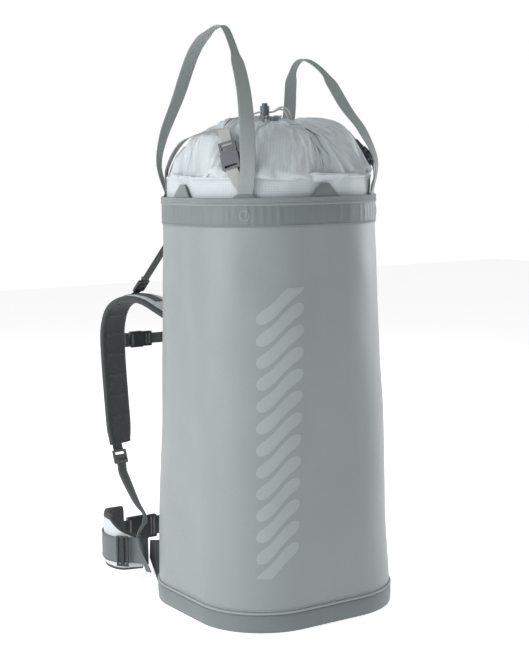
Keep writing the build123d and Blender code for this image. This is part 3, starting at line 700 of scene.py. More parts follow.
def rim_tab(name, turn, centre, half_low, half_high, rise, nodes):
    """Trapezium of doubled cloth: a wide foot inside the binding, a narrow top, wrapped on the
    tube's outline, with both faces and a folded rim that swells a little."""
    u = np.linspace(-1, 1, 25)
    v = np.linspace(0, 1, 11)
    half = half_low + (half_high - half_low) * np.clip((v - 0.12) / 0.88, 0, 1)
    around = turn + share_along(centre + u[None] * half[:, None])
    z = np.broadcast_to((COLLAR_TOP - 0.004 + v * (rise + 0.004))[:, None], around.shape)
    swell = 0.0007 * np.sin(math.pi * v)[:, None] * (1 - u[None] ** 4) - 0.0030 * v[:, None] ** 2
    outer = tube_surface(around.ravel(), z.ravel(), swell.ravel() - 0.0002)[0].reshape(*around.shape, 3)
    inner = tube_surface(around.ravel(), z.ravel(), swell.ravel() - 0.0018)[0].reshape(*around.shape, 3)
    closed = np.concatenate([outer, inner[:, ::-1]], axis=1)
    count = closed.shape[1]
    faces = capped_faces(len(v), count)
    uv_u = np.concatenate([u, u[::-1]]) * half_low
    uvs = np.stack(np.broadcast_arrays(uv_u[None], (v * rise)[:, None]), axis=-1).reshape(-1, 2)
    piece = put_mesh(name, closed.reshape(-1, 3), faces, uvs, TARP_DARK, "bag", smooth=False)
    face_out(piece)
    if nodes:
        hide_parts(*nodes)


for quarter in range(4):
    rim_tab("rim_tab_middle_%d" % quarter, quarter / 4, 0.0, 0.0270, 0.0075, 0.0215, ["middle_tabs"])
    rim_tab("rim_tab_corner_%d" % quarter, quarter / 4, HALF_SIDE - 0.0005, 0.0250, 0.0060, 0.0100, [])

# ---- haul handles: one webbing from collar to collar, folded to half width at the grip ----
pivot_z = COLLAR_TOP + 0.012
PIVOT_X = 0.1300
HANDLE_WIDE, HANDLE_THICK = 0.025, 0.0020
LEAN = math.radians(5)
LEFT_LOOP = [(-136, 48), (-113, 153), (-67, 235), (-26, 265), (45, 235), (98, 153), (139, 92), (150, 40)]
RIGHT_LOOP = [(-136, 40), (-106, 93), (-64, 133), (-10, 194), (50, 222), (88, 200), (106, 138), (134, 50)]


def haul_handle(side, route, grip, body):
    """Webbing with its feet sewn on two collar corners: it lies on the corner at the foot, and
    turns to face along the bag above it. The grip is folded over and stitched shut."""
    name = "handle_webbing_" + ("left" if side < 0 else "right")
    tucked = PIVOT_X - 0.0048
    foot = [(side * tucked, -tucked, z) for z in (0.660, 0.676, 0.690, 0.701)]
    loop = [(side * (PIVOT_X - h * MM * math.sin(LEAN)), y * MM, pivot_z + h * MM * math.cos(LEAN))
            for y, h in route]
    end = [(side * tucked, tucked, z) for z in (0.701, 0.690, 0.676, 0.660)]
    corner_in, corner_out = (1, side, 0), (1, -side, 0)
    across = [corner_in, corner_in, (1, 0.3 * side, 0), (1, 0, 0), (1, 0, 0), (1, 0, 0), (1, 0, 0),
              (1, -0.3 * side, 0), corner_out, corner_out]
    frames = path_frames(foot + loop + end, across, 260)
    share = frames[4] / frames[4][-1]
    inside = 1 / (1 + np.exp(-(share - grip[0]) / 0.006)) * 1 / (1 + np.exp((share - grip[1]) / 0.006))
    narrow = 1 - 0.42 * inside
    piece = carried(name, frames, strap_profile(HANDLE_WIDE, HANDLE_THICK), HANDLE_WEB, None,
                    narrow=narrow)
    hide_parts("handle_left" if side < 0 else "handle_right", "handle_feet")
    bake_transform(piece)
    place, along, wide, out, _ = frames
    keep = (share > grip[0]) & (share < grip[1])
    for row, offset in enumerate((-0.0095, 0.0095)):
        line = place[keep] + wide[keep] * offset * 0.55
        for face, way in enumerate((-1, 1)):
            stitches("%s_grip_stitch_%d%d" % (name, row, face), line + out[keep] * way * 0.0010,
                     along[keep], out[keep] * way, body, "piping", DARK_THREAD)


haul_handle(-1, LEFT_LOOP, (0.36, 0.52), "handle_left")
haul_handle(1, RIGHT_LOOP, (0.42, 0.62), "handle_right")


def foot_stitching(quarter):
    """Round stitching that holds the handle's foot behind the collar on one corner."""
    bearing = math.radians(-45 + 90 * quarter)
    out = np.array([math.cos(bearing), math.sin(bearing), 0])
    side = np.array([-out[1], out[0], 0])
    reach = TOP_HALF - TOP_CORNER
    reach = reach * math.sqrt(2) + TOP_CORNER + 0.0026
    middle = out * reach + np.array([0, 0, 0.6705])
    turn = np.linspace(0, 2 * math.pi, 60)
    up = np.array([0, 0, 1])
    for index, radius in enumerate((0.0082, 0.0070)):
        ring = middle + side * np.sin(turn)[:, None] * radius + up * np.cos(turn)[:, None] * radius
        piece = stitches("foot_ring_%d_%d" % (quarter, index), ring, np.gradient(ring, axis=0),
                         np.broadcast_to(out, ring.shape), "bag", "piping", THREAD, pitch=0.0030, long=0.0024)
        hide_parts("foot_rings")


for quarter in range(4):
    foot_stitching(quarter)

# ================= drawstring sleeve: cloth gathered over the ropes =================
SLEEVE_INSET = 0.0076
SKIRT_LOW = box("sleeve_band")[0][2]
SLEEVE_FREE = 0.285
BAND_RISE = 0.034
SLEEVE_TURNS = 240
SLEEVE_FLARE = 0.022
FLARE_OVER = 0.030
SLEEVE_GIRTH = 1.06
MOUTH_Z = box("sleeve_crown")[1][2]


def sleeve_start():
    """Straight sleeve before it is drawn in: the collar's outline carried up, with slight ripples."""
    z = np.concatenate([np.linspace(SKIRT_LOW, COLLAR_TOP, 8)[:-1],
                        np.linspace(COLLAR_TOP, COLLAR_TOP + SLEEVE_FREE, 46)])
    around = np.linspace(0, 1, SLEEVE_TURNS, endpoint=False)
    rise = np.clip((z - COLLAR_TOP) / SLEEVE_FREE, 0, 1)
    ripple = (0.0016 * np.sin(around * 2 * math.pi * 13 + 0.6)
              + 0.0014 * np.sin(around * 2 * math.pi * 29 + 2.1)
              + 0.0020 * np.sin(around * 2 * math.pi * 7 + 1.0))
    rows = []
    for height, share_up in zip(z, rise):
        place, facing = rounded_square(around, TOP_HALF - SLEEVE_INSET, TOP_CORNER - SLEEVE_INSET)
        flare = SLEEVE_FLARE * min(1.0, max(0.0, (height - COLLAR_TOP - BAND_RISE) / FLARE_OVER))
        flat = place + facing * (ripple * min(1.0, share_up * 5) + flare)[:, None]
        rows.append(np.column_stack([flat, np.full(SLEEVE_TURNS, height)]))
    return np.stack(rows), z, around


def gathered_mouth(around, rows_above):
    """Places of the gathered mouth: tight ruffles at the cord and a small frill above it."""
    turn = around * 2 * math.pi
    ruffle = np.sin(26 * turn + 1.5 * np.sin(4 * turn))
    rings = []
    for k in range(rows_above):
        radius = 0.0145 + 0.0045 * ruffle + 0.0035 * k
        height = MOUTH_Z - 0.004 + 0.0045 * k + 0.001 * np.sin(9 * turn)
        rings.append(np.column_stack([np.cos(turn - math.pi / 2) * radius, np.sin(turn - math.pi / 2) * radius,
                                      np.broadcast_to(height, turn.shape)]))
    return np.stack(rings)


def drape(rows, target, pinned_low, mouth_rows):
    """Draws the sleeve in as cloth: the skirt stays, the mouth closes, the rest falls on a dome."""
    count, around = rows.shape[:2]
    mesh = bpy.data.meshes.new("sleeve_sim")
    mesh.from_pydata(rows.reshape(-1, 3).tolist(), [], grid_faces(count, around, wrap_columns=True).tolist())
    piece = bpy.data.objects.new("sleeve_sim", mesh)
    bpy.context.scene.collection.objects.link(piece)
    pins = piece.vertex_groups.new(name="held")
    pins.add(list(range(pinned_low * around)), 1.0, "REPLACE")
    pins.add(list(range((count - mouth_rows) * around, count * around)), 1.0, "REPLACE")
    piece.shape_key_add(name="Basis")
    closed = piece.shape_key_add(name="drawn")
    goal = rows.copy()
    goal[count - mouth_rows:] = target
    closed.data.foreach_set("co", goal.astype(np.float32).ravel())
    closed.value = 0.0
    closed.keyframe_insert("value", frame=1)
    closed.value = 1.0
    closed.keyframe_insert("value", frame=30)

    dome_turn = np.linspace(0, 2 * math.pi, 48, endpoint=False)
    dome_rise = np.linspace(0, math.pi / 2, 14)[:-1]
    dome = []
    for a in dome_rise:
        lump = 1 + 0.045 * np.sin(3 * dome_turn + 0.8 + 2 * a) + 0.03 * np.sin(5 * dome_turn + 2.0 - 3 * a)
        radius = 0.158 * math.cos(a) ** 0.38 * (1 + 0.9 * (lump - 1))
        dome.append(np.column_stack([np.cos(dome_turn) * radius, np.sin(dome_turn) * radius,
                                     COLLAR_TOP - 0.035 + 0.148 * math.sin(a) ** 0.8 + 0.16 * (lump - 1)]))
    dome_mesh = bpy.data.meshes.new("rope_heap")
    dome_faces = grid_faces(len(dome), 48, wrap_columns=True).tolist() + [[12 * 48 + k for k in range(48)]]
    dome_mesh.from_pydata(np.concatenate(dome).tolist(), [], dome_faces)
    heap = bpy.data.objects.new("rope_heap", dome_mesh)
    bpy.context.scene.collection.objects.link(heap)
    heap.modifiers.new("collide", "COLLISION")
    heap.collision.thickness_outer = 0.003
    heap.collision.cloth_friction = 12

    cloth = piece.modifiers.new("cloth", "CLOTH")
    settings = cloth.settings
    settings.quality = 7
    settings.mass = 0.12
    settings.air_damping = 2.0
    settings.tension_stiffness = 20
    settings.compression_stiffness = 14
    settings.shear_stiffness = 8
    settings.bending_stiffness = 0.6
    settings.vertex_group_mass = "held"
    cloth.collision_settings.distance_min = 0.003
    cloth.collision_settings.use_self_collision = False
    cloth.point_cache.frame_start = 1
    cloth.point_cache.frame_end = 60
    scene = bpy.context.scene
    for number in range(1, 53):
        scene.frame_set(number)
    seen = piece.evaluated_get(bpy.context.evaluated_depsgraph_get())
    result = np.zeros(count * around * 3, dtype=np.float32)
    seen.data.vertices.foreach_get("co", result)
    scene.frame_set(1)
    for spent in (piece, heap):
        data = spent.data
        bpy.data.objects.remove(spent, do_unlink=True)
        bpy.data.meshes.remove(data)
    for action in list(bpy.data.actions):
        bpy.data.actions.remove(action)
    return result.reshape(count, around, 3).astype(float)


sleeve_rows, sleeve_z, sleeve_around = sleeve_start()
MOUTH_ROWS = 3
mouth = gathered_mouth(sleeve_around, MOUTH_ROWS)
sleeve_shape = drape(sleeve_rows, mouth, int(np.sum(sleeve_z < COLLAR_TOP + BAND_RISE)), MOUTH_ROWS)


def seam_tape(row, height):
    """Narrow folded tape round the sleeve at the top of its band, on the row's own outline."""
    ring = row[:, :2]
    along = unit(np.roll(ring, -1, axis=0) - np.roll(ring, 1, axis=0))
    facing = np.column_stack([along[:, 1], -along[:, 0]])
    profile = np.array([(-0.5, -2.4), (0.7, -2.2), (1.1, 0.0), (0.7, 2.2), (-0.5, 2.4)]) * MM
    heights = np.broadcast_to((height + profile[:, 1])[None, :, None], (len(ring), 5, 1))
    rings = np.concatenate([ring[:, None] + facing[:, None] * profile[None, :, :1], heights], axis=2)
    faces = grid_faces(len(ring), 5, wrap_rows=True, wrap_columns=True).tolist()
    around = np.repeat(np.linspace(0, SLEEVE_GIRTH, len(ring)), 5)
    uvs = np.stack([around, np.tile(profile[:, 1], len(ring))], axis=1)
    piece = put_mesh("sleeve_seam_tape", rings.reshape(-1, 3), faces, uvs, RIPSTOP, "lid")
    face_out(piece)
    normal = np.column_stack([facing, np.zeros(len(ring))])
    for index, rise in enumerate((-0.0045, 0.0045)):
        line = np.column_stack([ring, np.full(len(ring), height + rise)])
        stitches("sleeve_seam_stitch_%d" % index, line, np.gradient(line, axis=0), normal, "lid",
                 "ripstop", THREAD, pitch=0.0036, long=0.0024, radius=0.00028)


band_row = int(np.sum(sleeve_z < COLLAR_TOP + BAND_RISE)) - 1
seam_tape(sleeve_shape[band_row], sleeve_z[band_row])
sleeve_faces = grid_faces(len(sleeve_rows), SLEEVE_TURNS, wrap_columns=True).tolist()
sleeve_map = np.broadcast_arrays(SLEEVE_GIRTH * sleeve_around[None], sleeve_z[:, None])
sleeve = put_mesh("sleeve_cloth", sleeve_shape.reshape(-1, 3), sleeve_faces,
                  np.stack(sleeve_map, axis=-1).reshape(-1, 2), RIPSTOP, "lid")
wall = sleeve.modifiers.new("wall", "SOLIDIFY")
wall.thickness = 0.0007
wall.offset = -1
smoother = sleeve.modifiers.new("smoother", "SUBSURF")
smoother.levels = 1
smoother.render_levels = 1
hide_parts("sleeve_band", "sleeve_crown")

# ================= lid straps: light webbing over the sleeve, buckled at the front =================
LID_WIDE, LID_THICK = 0.020, 0.0014
LID_PROFILE = strap_profile(LID_WIDE, LID_THICK)
CORNER_FOOT = 0.1250
STRAP_FOOT_Z = COLLAR_TOP + 0.008
strap_ends = [(-0.119, 0.080, 0.790), (-0.128, 0.118, 0.746), (-CORNER_FOOT, CORNER_FOOT, STRAP_FOOT_Z),
              (-CORNER_FOOT, CORNER_FOOT, STRAP_FOOT_Z - 0.030)]
pressed_by = []


def lid_strap(side, centre, insert, outward, over, low):
    """Two lengths of webbing: from the rear corner over the sleeve to the buckle's plug, and from
    its socket down to the front corner. side mirrors the left strap."""
    word = "left" if side < 0 else "right"
    flip = np.array([-side, 1, 1])
    centre, insert, outward = np.array(centre), unit(np.array(insert)), unit(np.array(outward))
    start = centre - insert * 0.005
    across = unit(np.cross(outward, insert))
    top = [start - insert * 0.0115, start - insert * 0.020, start - insert * 0.028] + over + strap_ends
    guides = [across, across, (0.9, 0, 0.4), (0.9, 0.4, 0.2), (1, 1, 0), (1, 1, 0)]
    frames = path_frames([p * flip for p in np.array(top)], [g * flip for g in np.array(guides)], 220)
    pressed_by.append((frames, LID_WIDE / 2, 0.0012))
    piece = carried("lid_strap_over_" + word, frames, LID_PROFILE, LID_WEB, None)
    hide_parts("lid_strap_" + word)
    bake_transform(piece)
    bottom = [start + insert * 0.0245, start + insert * 0.031, low,
              (-CORNER_FOOT, -CORNER_FOOT, STRAP_FOOT_Z), (-CORNER_FOOT, -CORNER_FOOT, STRAP_FOOT_Z - 0.030)]
    end_guides = [across, (1, -1, 0), (1, -1, 0)]
    ends = path_frames([p * flip for p in np.array(bottom)], [g * flip for g in np.array(end_guides)], 90)
    pressed_by.append((ends, LID_WIDE / 2, 0.0012))
    body_line = path_frames([p * flip for p in (start - insert * 0.019, start, start + insert * 0.029)],
                            [across * flip], 24)
    pressed_by.append((body_line, 0.0155, 0.0062))
    piece = carried("lid_strap_end_" + word, ends, LID_PROFILE, LID_WEB, None)
    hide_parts("lid_strap_ends")
    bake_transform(piece)
    tail = [start - insert * 0.0065 + outward * 0.0012, start - insert * 0.013 + outward * 0.003,
            start - insert * 0.026 + outward * 0.004, start - insert * 0.040 + outward * 0.0055]
    frames = path_frames([p * flip for p in tail], [across * flip], 40)
    carried("lid_strap_tail_" + word, frames, strap_profile(LID_WIDE - 0.001, LID_THICK), LID_WEB, "lid")


lid_strap(-1, (-0.139, -0.103, 0.765), (-0.05, -0.38, -0.92), (-0.78, -0.60, 0.20),
          [(-0.128, -0.050, 0.804), (-0.108, 0.020, 0.804)], (-0.133, -0.117, 0.724))
lid_strap(1, (-0.145, -0.075, 0.767), (-0.35, -0.62, -0.70), (-0.80, -0.10, 0.50),
          [(-0.116, -0.012, 0.804), (-0.108, 0.030, 0.804)], (-0.143, -0.109, 0.724))


def press_cloth(piece, presses):
    """Pushes the sleeve in under the straps and buckles: a vertex nearer than the half width is
    moved to the strap's inner face, and the push fades to nothing beside it."""
    count = len(piece.data.vertices)
    flat = np.zeros(count * 3)
    piece.data.vertices.foreach_get("co", flat)
    places = flat.reshape(count, 3)
    heart = np.array([0, 0, COLLAR_TOP + 0.02])
    for (place, along, wide, out, _), half, under in presses:
        gap = places[:, None] - place[None]
        nearest = np.argmin(np.sum(gap ** 2, axis=2), axis=1)
        offset = gap[np.arange(count), nearest]
        away = out[nearest] * np.sign(np.sum((place - heart) * out, axis=1))[nearest][:, None]
        height = np.sum(offset * away, axis=1)
        beside = np.abs(np.sum(offset * wide[nearest], axis=1))
        beyond = np.abs(np.sum(offset * along[nearest], axis=1))
        limit = -under - 0.0006 + np.clip(beside - half, 0, None) * 0.9 + np.clip(beyond - 0.003, 0, None) * 0.9
        push = np.where((height > limit) & (beside < half + 0.030) & (beyond < 0.02), height - limit, 0.0)
        places = places - away * np.minimum(push, 0.03)[:, None]
    piece.data.vertices.foreach_set("co", places.ravel())
    piece.data.update()


press_cloth(sleeve, pressed_by)

# ================= harness on the back =================
def back_wall(x, z, out):
    """Y of the bag's rear wall at a place across and up, moved out by an offset."""
    rise = np.clip((z - TAPER_LOW) / (TAPER_HIGH - TAPER_LOW), 0, 1)
    half = BASE_HALF + (TOP_HALF - BASE_HALF) * rise + out
    corner = BASE_CORNER + (TOP_CORNER - BASE_CORNER) * rise + out
    over = np.clip(np.abs(x) - (half - corner), 0, None)
    return half - corner + np.sqrt(np.maximum(corner ** 2 - over ** 2, 0))


def wall_pad(name, half, low, high, inner, thick, materials, nodes, grooves=(), bars=(),
             round_in=0.03, taper=0.0):
    """Cushion on the rear wall: a rounded rectangle whose face swells in the middle and rolls off
    at the rim, with grooves upright at some places across and bars at some heights."""
    columns, rows = 81, 121
    u = np.sin(np.linspace(-math.pi / 2, math.pi / 2, columns))
    v = np.sin(np.linspace(-math.pi / 2, math.pi / 2, rows))
    uu, vv = np.meshgrid(u, v)
    tall = (high - low) / 2
    edge = np.clip(np.abs(vv) * tall - (tall - round_in), 0, None)
    shrink = half - (round_in - np.sqrt(np.maximum(round_in ** 2 - edge ** 2, 0)))
    x = uu * shrink * (1 - taper * (vv + 1) / 2)
    z = (low + high) / 2 + vv * tall
    roll = (1 - np.abs(uu) ** 14) ** 0.5 * (1 - np.abs(vv) ** (14 * tall / half)) ** 0.5
    depth = 0.35 + 0.65 * roll
    for at, wide, deep in grooves:
        depth = depth - deep * np.exp(-((x - at) / wide) ** 2) * roll
    for at, wide, deep in bars:
        depth = depth - deep * np.exp(-((z - at) / wide) ** 4) * roll
    outer = np.stack([x, back_wall(x, z, inner + thick * depth), z], axis=-1)
    under = np.stack([x, back_wall(x, z, np.full_like(x, inner)), z], axis=-1)
    count = rows * columns
    top = grid_faces(rows, columns)
    bottom = top[:, ::-1] + count
    rim = np.concatenate([np.arange(columns - 1), np.arange(columns - 1, count - 1, columns),
                          np.arange(count - 1, count - columns, -1), np.arange(count - columns, 0, -columns)])
    after = np.roll(rim, -1)
    sides = np.stack([rim, after, after + count, rim + count], axis=1)
    faces = np.concatenate([top, bottom, sides]).tolist()
    points = np.concatenate([outer.reshape(-1, 3), under.reshape(-1, 3)])
    uvs = np.tile(np.stack([x, z], axis=-1).reshape(-1, 2), (2, 1))
    piece = put_mesh(name, points, faces, uvs, materials[0], "bag")
    if len(materials) > 1:
        piece.data.materials.append(materials[1])
        index = np.zeros(len(faces), dtype=np.int32)
        index[2 * len(top):] = 1
        middle = np.abs(uu[:-1, :-1] + uu[1:, 1:]) / 2
        upright = np.abs(vv[:-1, :-1] + vv[1:, 1:]) / 2
        near = (middle * half > half - 0.007) | (upright * tall > tall - 0.007)
        index[:len(top)] = near.reshape(-1).astype(np.int32)
        piece.data.polygons.foreach_set("material_index", index)
    face_out(piece)
    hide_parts(*nodes)
    return piece


pad_low, pad_high = box("back_pad")
BACK_OUT = 0.0003
back_pad = wall_pad("back_cushion", pad_high[0], pad_low[2], pad_high[2], BACK_OUT, 0.012,
                    [MESH_PAD, EDGE_BIND], ["back_pad"],
                    grooves=[(-0.035, 0.005, 0.55), (0.035, 0.005, 0.55)],
                    bars=[(0.235, 0.005, 0.5), (0.330, 0.005, 0.5), (0.550, 0.005, 0.5)])
yoke_low, yoke_high = box("harness_yoke")
wall_pad("yoke_plate", yoke_high[0], yoke_low[2], yoke_high[2], 0.0126, 0.004, [DARK_WEB, EDGE_BIND],
         ["harness_yoke"], round_in=0.012)
lumbar_low, lumbar_high = box("lumbar_pad")
lumbar = wall_pad("lumbar_cushion", lumbar_high[0], lumbar_low[2], lumbar_high[2], BACK_OUT + 0.003, 0.018,
                  [MESH_PAD, EDGE_BIND], ["lumbar_pad"], grooves=[(0.0, 0.012, 0.5)], round_in=0.035)

SHOULDER_TURN = math.radians(19.6)
shoulder_way = np.array([-math.sin(SHOULDER_TURN), math.cos(SHOULDER_TURN), 0])
shoulder_across = np.array([math.cos(SHOULDER_TURN), math.sin(SHOULDER_TURN), 0])
shoulder_from = np.array([-0.065, 0.176, 0])
PAD_WIDE, PAD_THICK = 0.060, 0.013
LIFTER_PROFILE = strap_profile(0.020, 0.0018)
LOWER_PROFILE = strap_profile(0.025, 0.0020)
PAD_ROUTE = [(28, 482), (82, 506), (128, 508), (164, 490), (180, 452), (181, 400), (176, 321), (169, 232)]


def on_shoulder(reach, z):
    """Place in the left shoulder strap's upright plane, from millimetres."""
    return shoulder_from + shoulder_way * reach * MM + np.array([0, 0, z * MM])


def pad_profile(width, thick):
    """Closed outline of a padded strap: gently crowned faces and round edges. Across, out."""
    turn = np.linspace(0, 2 * math.pi, 49)[:-1]
    x = width / 2 * np.sign(np.cos(turn)) * np.abs(np.cos(turn)) ** 0.35
    y = thick / 2 * np.sign(np.sin(turn)) * np.abs(np.sin(turn)) ** 0.55
    return np.stack([x, y], axis=1)


def side_of(x_sign, points):
    """Left-hand points, mirrored to the right when the sign is 1."""
    return np.array(points) * np.array([-x_sign, 1, 1])


def painted(piece, frames_count, around, choose, extra):
    """Gives the faces of a carried piece their material: choose holds one index for each segment
    of the profile."""
    for material in extra:
        piece.data.materials.append(material)
    index = np.zeros(len(piece.data.polygons), dtype=np.int32)
    index[:(frames_count - 1) * around] = np.tile(choose, frames_count - 1)
    index[(frames_count - 1) * around:] = int(choose.max())
    piece.data.polygons.foreach_set("material_index", index)


def shoulder_set(sign):
    """Shoulder pad with a bound edge, its daisy webbing, load lifter and lower strap."""
    word = "left" if sign < 0 else "right"
    route = side_of(sign, [on_shoulder(*p) for p in PAD_ROUTE])
    across = shoulder_across * np.array([-sign, 1, 1]) * (1 if sign < 0 else -1)
    frames = path_frames(route, across, 200)
    place, along, wide, out, length = frames
    share = length / length[-1]
    narrow = 1 - 0.16 * np.exp(-((share - 1.0) / 0.05) ** 2) - 0.10 * np.exp(-(share / 0.05) ** 2)
    profile = pad_profile(PAD_WIDE, PAD_THICK)
    piece = carried("shoulder_cushion_" + word, frames, profile, MESH_PAD, "bag", narrow=narrow)
    middle = (profile + np.roll(profile, -1, axis=0)) / 2
    choose = np.where(np.abs(middle[:, 0]) > 0.0255, 2, np.where(middle[:, 1] > 0, 1, 0)).astype(np.int32)
    painted(piece, 200, len(profile), choose, [FIN_CLOTH, EDGE_BIND])
    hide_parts("shoulder_pad_" + word)
    web = tuple(v[20:186] for v in frames)
    carried("shoulder_daisy_" + word, web, strap_profile(0.020, 0.0016), DARK_WEB, "bag",
            lift=np.full(166, 0.0072))
    for index, at in enumerate(range(34, 180, 22)):
        bar = place[at] + out[at] * 0.0081
        line = bar + wide[at] * np.linspace(-0.009, 0.009, 20)[:, None]
        for k in (-0.0012, 0.0012):
            stitches("daisy_tack_%s_%d_%s" % (word, index, "a" if k < 0 else "b"), line + along[at] * k,
                     np.tile(wide[at], (20, 1)), np.tile(out[at], (20, 1)), "bag", "harness_web", DARK_THREAD,
                     pitch=0.0016, long=0.0014)
    for index in range(7):
        at = 60 + index * 19
        line = place[at] - out[at] * 0.0064 + wide[at] * np.linspace(-0.024, 0.024, 24)[:, None]
        rib_frames = (line, np.tile(wide[at], (24, 1)), np.tile(along[at], (24, 1)), np.tile(-out[at], (24, 1)),
                      np.linspace(0, 0.048, 24))
        carried("shoulder_rib_%s_%d" % (word, index), rib_frames, strap_profile(0.006, 0.0014), EDGE_BIND,
                "bag")

    lock = on_shoulder(106, 532)
    top = on_shoulder(8, 648)
    way = unit(lock - top)
    lifter = side_of(sign, [top, top + way * 0.05, lock - way * 0.021, lock - way * 0.004])
    frames = path_frames(lifter, across, 60)
    piece = carried("load_lifter_" + word, frames, LIFTER_PROFILE, DARK_WEB, "bag")
    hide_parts("load_lifters")
    low_end = [lock + way * 0.004 + np.array([0, 0, 0.001]), lock + way * 0.014, on_shoulder(124, 516)]
    frames = path_frames(side_of(sign, low_end), across, 30)
    carried("lifter_end_" + word, frames, LIFTER_PROFILE, DARK_WEB, "bag")

    strap_at = on_shoulder(170, 206)
    strap_way = unit(np.array([0.04, -0.30, -0.95]))
    lower = [strap_at - strap_way * 0.004, strap_at + strap_way * 0.015, strap_at + strap_way * 0.035,
             (-0.131, 0.262, 0.137), (-0.139, 0.215, 0.120), (-0.153, 0.193, 0.110), (-0.172, 0.180, 0.084),
             (-0.156, 0.169, 0.028)]
    last = np.array([0.20, 0.80, -0.45]) * np.array([-sign, 1, 1]) * (1 if sign < 0 else -1)
    frames = path_frames(side_of(sign, lower), [across, last], 180)
    piece = carried("lower_strap_web_" + word, frames, LOWER_PROFILE, DARK_WEB, "bag")
    middle = (LOWER_PROFILE + np.roll(LOWER_PROFILE, -1, axis=0)) / 2
    painted(piece, 180, len(LOWER_PROFILE), (np.abs(middle[:, 0]) > 0.0078).astype(np.int32), [BELT_WEB])
    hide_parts("lower_strap_" + word)
    tail = [strap_at - strap_way * 0.013, strap_at - strap_way * 0.024, on_shoulder(168, 250)]
    frames = path_frames(side_of(sign, tail), across, 24)
    carried("lower_strap_anchor_" + word, frames, LOWER_PROFILE, DARK_WEB, "bag",
            lift=np.full(24, -0.001))


BELT_WIDE, BELT_THICK = 0.048, 0.0020
FIN_ROUTE = [(-0.150, 0.202), (-0.183, 0.226), (-0.188, 0.262), (-0.168, 0.302), (-0.130, 0.322)]


def hip_fin(sign):
    """Padded wing: a band carried round the hip, its top cut down at the rear, mesh inside, light
    cloth outside and a bound edge; then the webbing that runs along it."""
    word = "left" if sign < 0 else "right"
    columns = 120
    route = side_of(sign, [(x, y, 0.072) for x, y in FIN_ROUTE])
    place, _, _, out, length = path_frames(route, (0, 0, 1), columns)
    out = out * (1 if sign < 0 else -1)
    y = place[:, 1]
    top = np.interp(y, [0.180, 0.206, 0.244, 0.30, 0.33], [0.083, 0.086, 0.1205, 0.1205, 0.112])
    low = np.interp(y, [0.180, 0.22, 0.30, 0.33], [0.030, 0.0235, 0.0235, 0.034])
    turn = np.linspace(0, 2 * math.pi, 41)[:-1]
    a = np.sign(np.cos(turn)) * np.abs(np.cos(turn)) ** 0.28
    n = 0.0058 * np.sign(np.sin(turn)) * np.abs(np.sin(turn)) ** 0.5
    height = (top + low)[:, None] / 2 + (top - low)[:, None] / 2 * a[None]
    rings = place[:, None] + out[:, None] * n[None, :, None]
    rings[..., 2] = height
    around = len(turn)
    faces = capped_faces(columns, around)
    uvs = np.stack(np.broadcast_arrays(length[:, None], height), axis=-1).reshape(-1, 2)
    piece = put_mesh("hip_wing_" + word, rings.reshape(-1, 3), faces, uvs, MESH_PAD, "bag")
    middle_a = (a + np.roll(a, -1)) / 2
    middle_n = (n + np.roll(n, -1)) / 2
    choose = np.where(np.abs(middle_a) > 0.86, 2, np.where(middle_n > 0, 1, 0)).astype(np.int32)
    painted(piece, columns, around, choose, [FIN_CLOTH, EDGE_BIND])
    face_out(piece)
    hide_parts("hip_fin_" + word)

    belt = [(-0.150, 0.180, 0.062)]
    for share in (0.12, 0.24, 0.37, 0.5, 0.65, 0.8):
        at = int(share * (columns - 1))
        spot = place[at] + out[at] * 0.0080
        belt.append((-abs(spot[0]), spot[1], 0.062))
    frames = path_frames(side_of(sign, belt), (0, 0, 1 if sign < 0 else -1), 150)
    profile = strap_profile(BELT_WIDE, BELT_THICK)
    piece = carried("hip_belt_" + word, frames, profile, BELT_WEB, "bag")
    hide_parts("hip_webbing_" + word)
    for index, offset in enumerate((-0.0215, 0.0215)):
        stitches("belt_stitch_%s_%d" % (word, index),
                 frames[0][30:] + frames[2][30:] * offset + frames[3][30:] * 0.0010,
                 frames[1][30:], frames[3][30:], "bag", "belt_web", DARK_THREAD)


def rear_tab(sign):
    """Triangular patch of doubled webbing that anchors the belt on the rear corner."""
    word = "left" if sign < 0 else "right"
    reach = BASE_HALF - BASE_CORNER + BASE_CORNER * math.sqrt(0.5)
    at = np.array([-reach + 0.003, reach + 0.010, 0.062])
    way = unit(np.array([-0.35, 0.94, 0]))
    facing = unit(np.array([-0.94, -0.35, 0]))
    outline = np.array([(0, -50), (0, 26), (24, 22), (26, -10), (8, -50)]) * MM
    dense = np.concatenate([np.linspace(p, q, 10, endpoint=False) for p, q in
                            zip(outline, np.roll(outline, -1, axis=0))])
    centre = dense.mean(axis=0)
    rings = []
    for grow, lift in ((0.0, 0.0011), (0.5, 0.0011), (0.94, 0.0011), (1.0, 0.0006),
                       (1.0, -0.0006), (0.94, -0.0011), (0.5, -0.0011), (0.0, -0.0011)):
        flat = centre + (dense - centre) * max(grow, 0.02)
        rings.append(at + way * flat[:, :1] + np.array([0, 0, 1]) * flat[:, 1:] + facing * lift)
    rows = np.stack(rings) * np.array([-sign, 1, 1])
    count = rows.shape[1]
    faces = capped_faces(len(rows), count)
    points = rows.reshape(-1, 3)
    uvs = np.stack([points[:, 1], points[:, 2]], axis=1)
    piece = put_mesh("rear_patch_" + word, points, faces, uvs, EDGE_BIND, "bag", smooth=False)
    face_out(piece)
    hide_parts("rear_tabs")


for sign in (-1, 1):
    shoulder_set(sign)
    hip_fin(sign)
    rear_tab(sign)


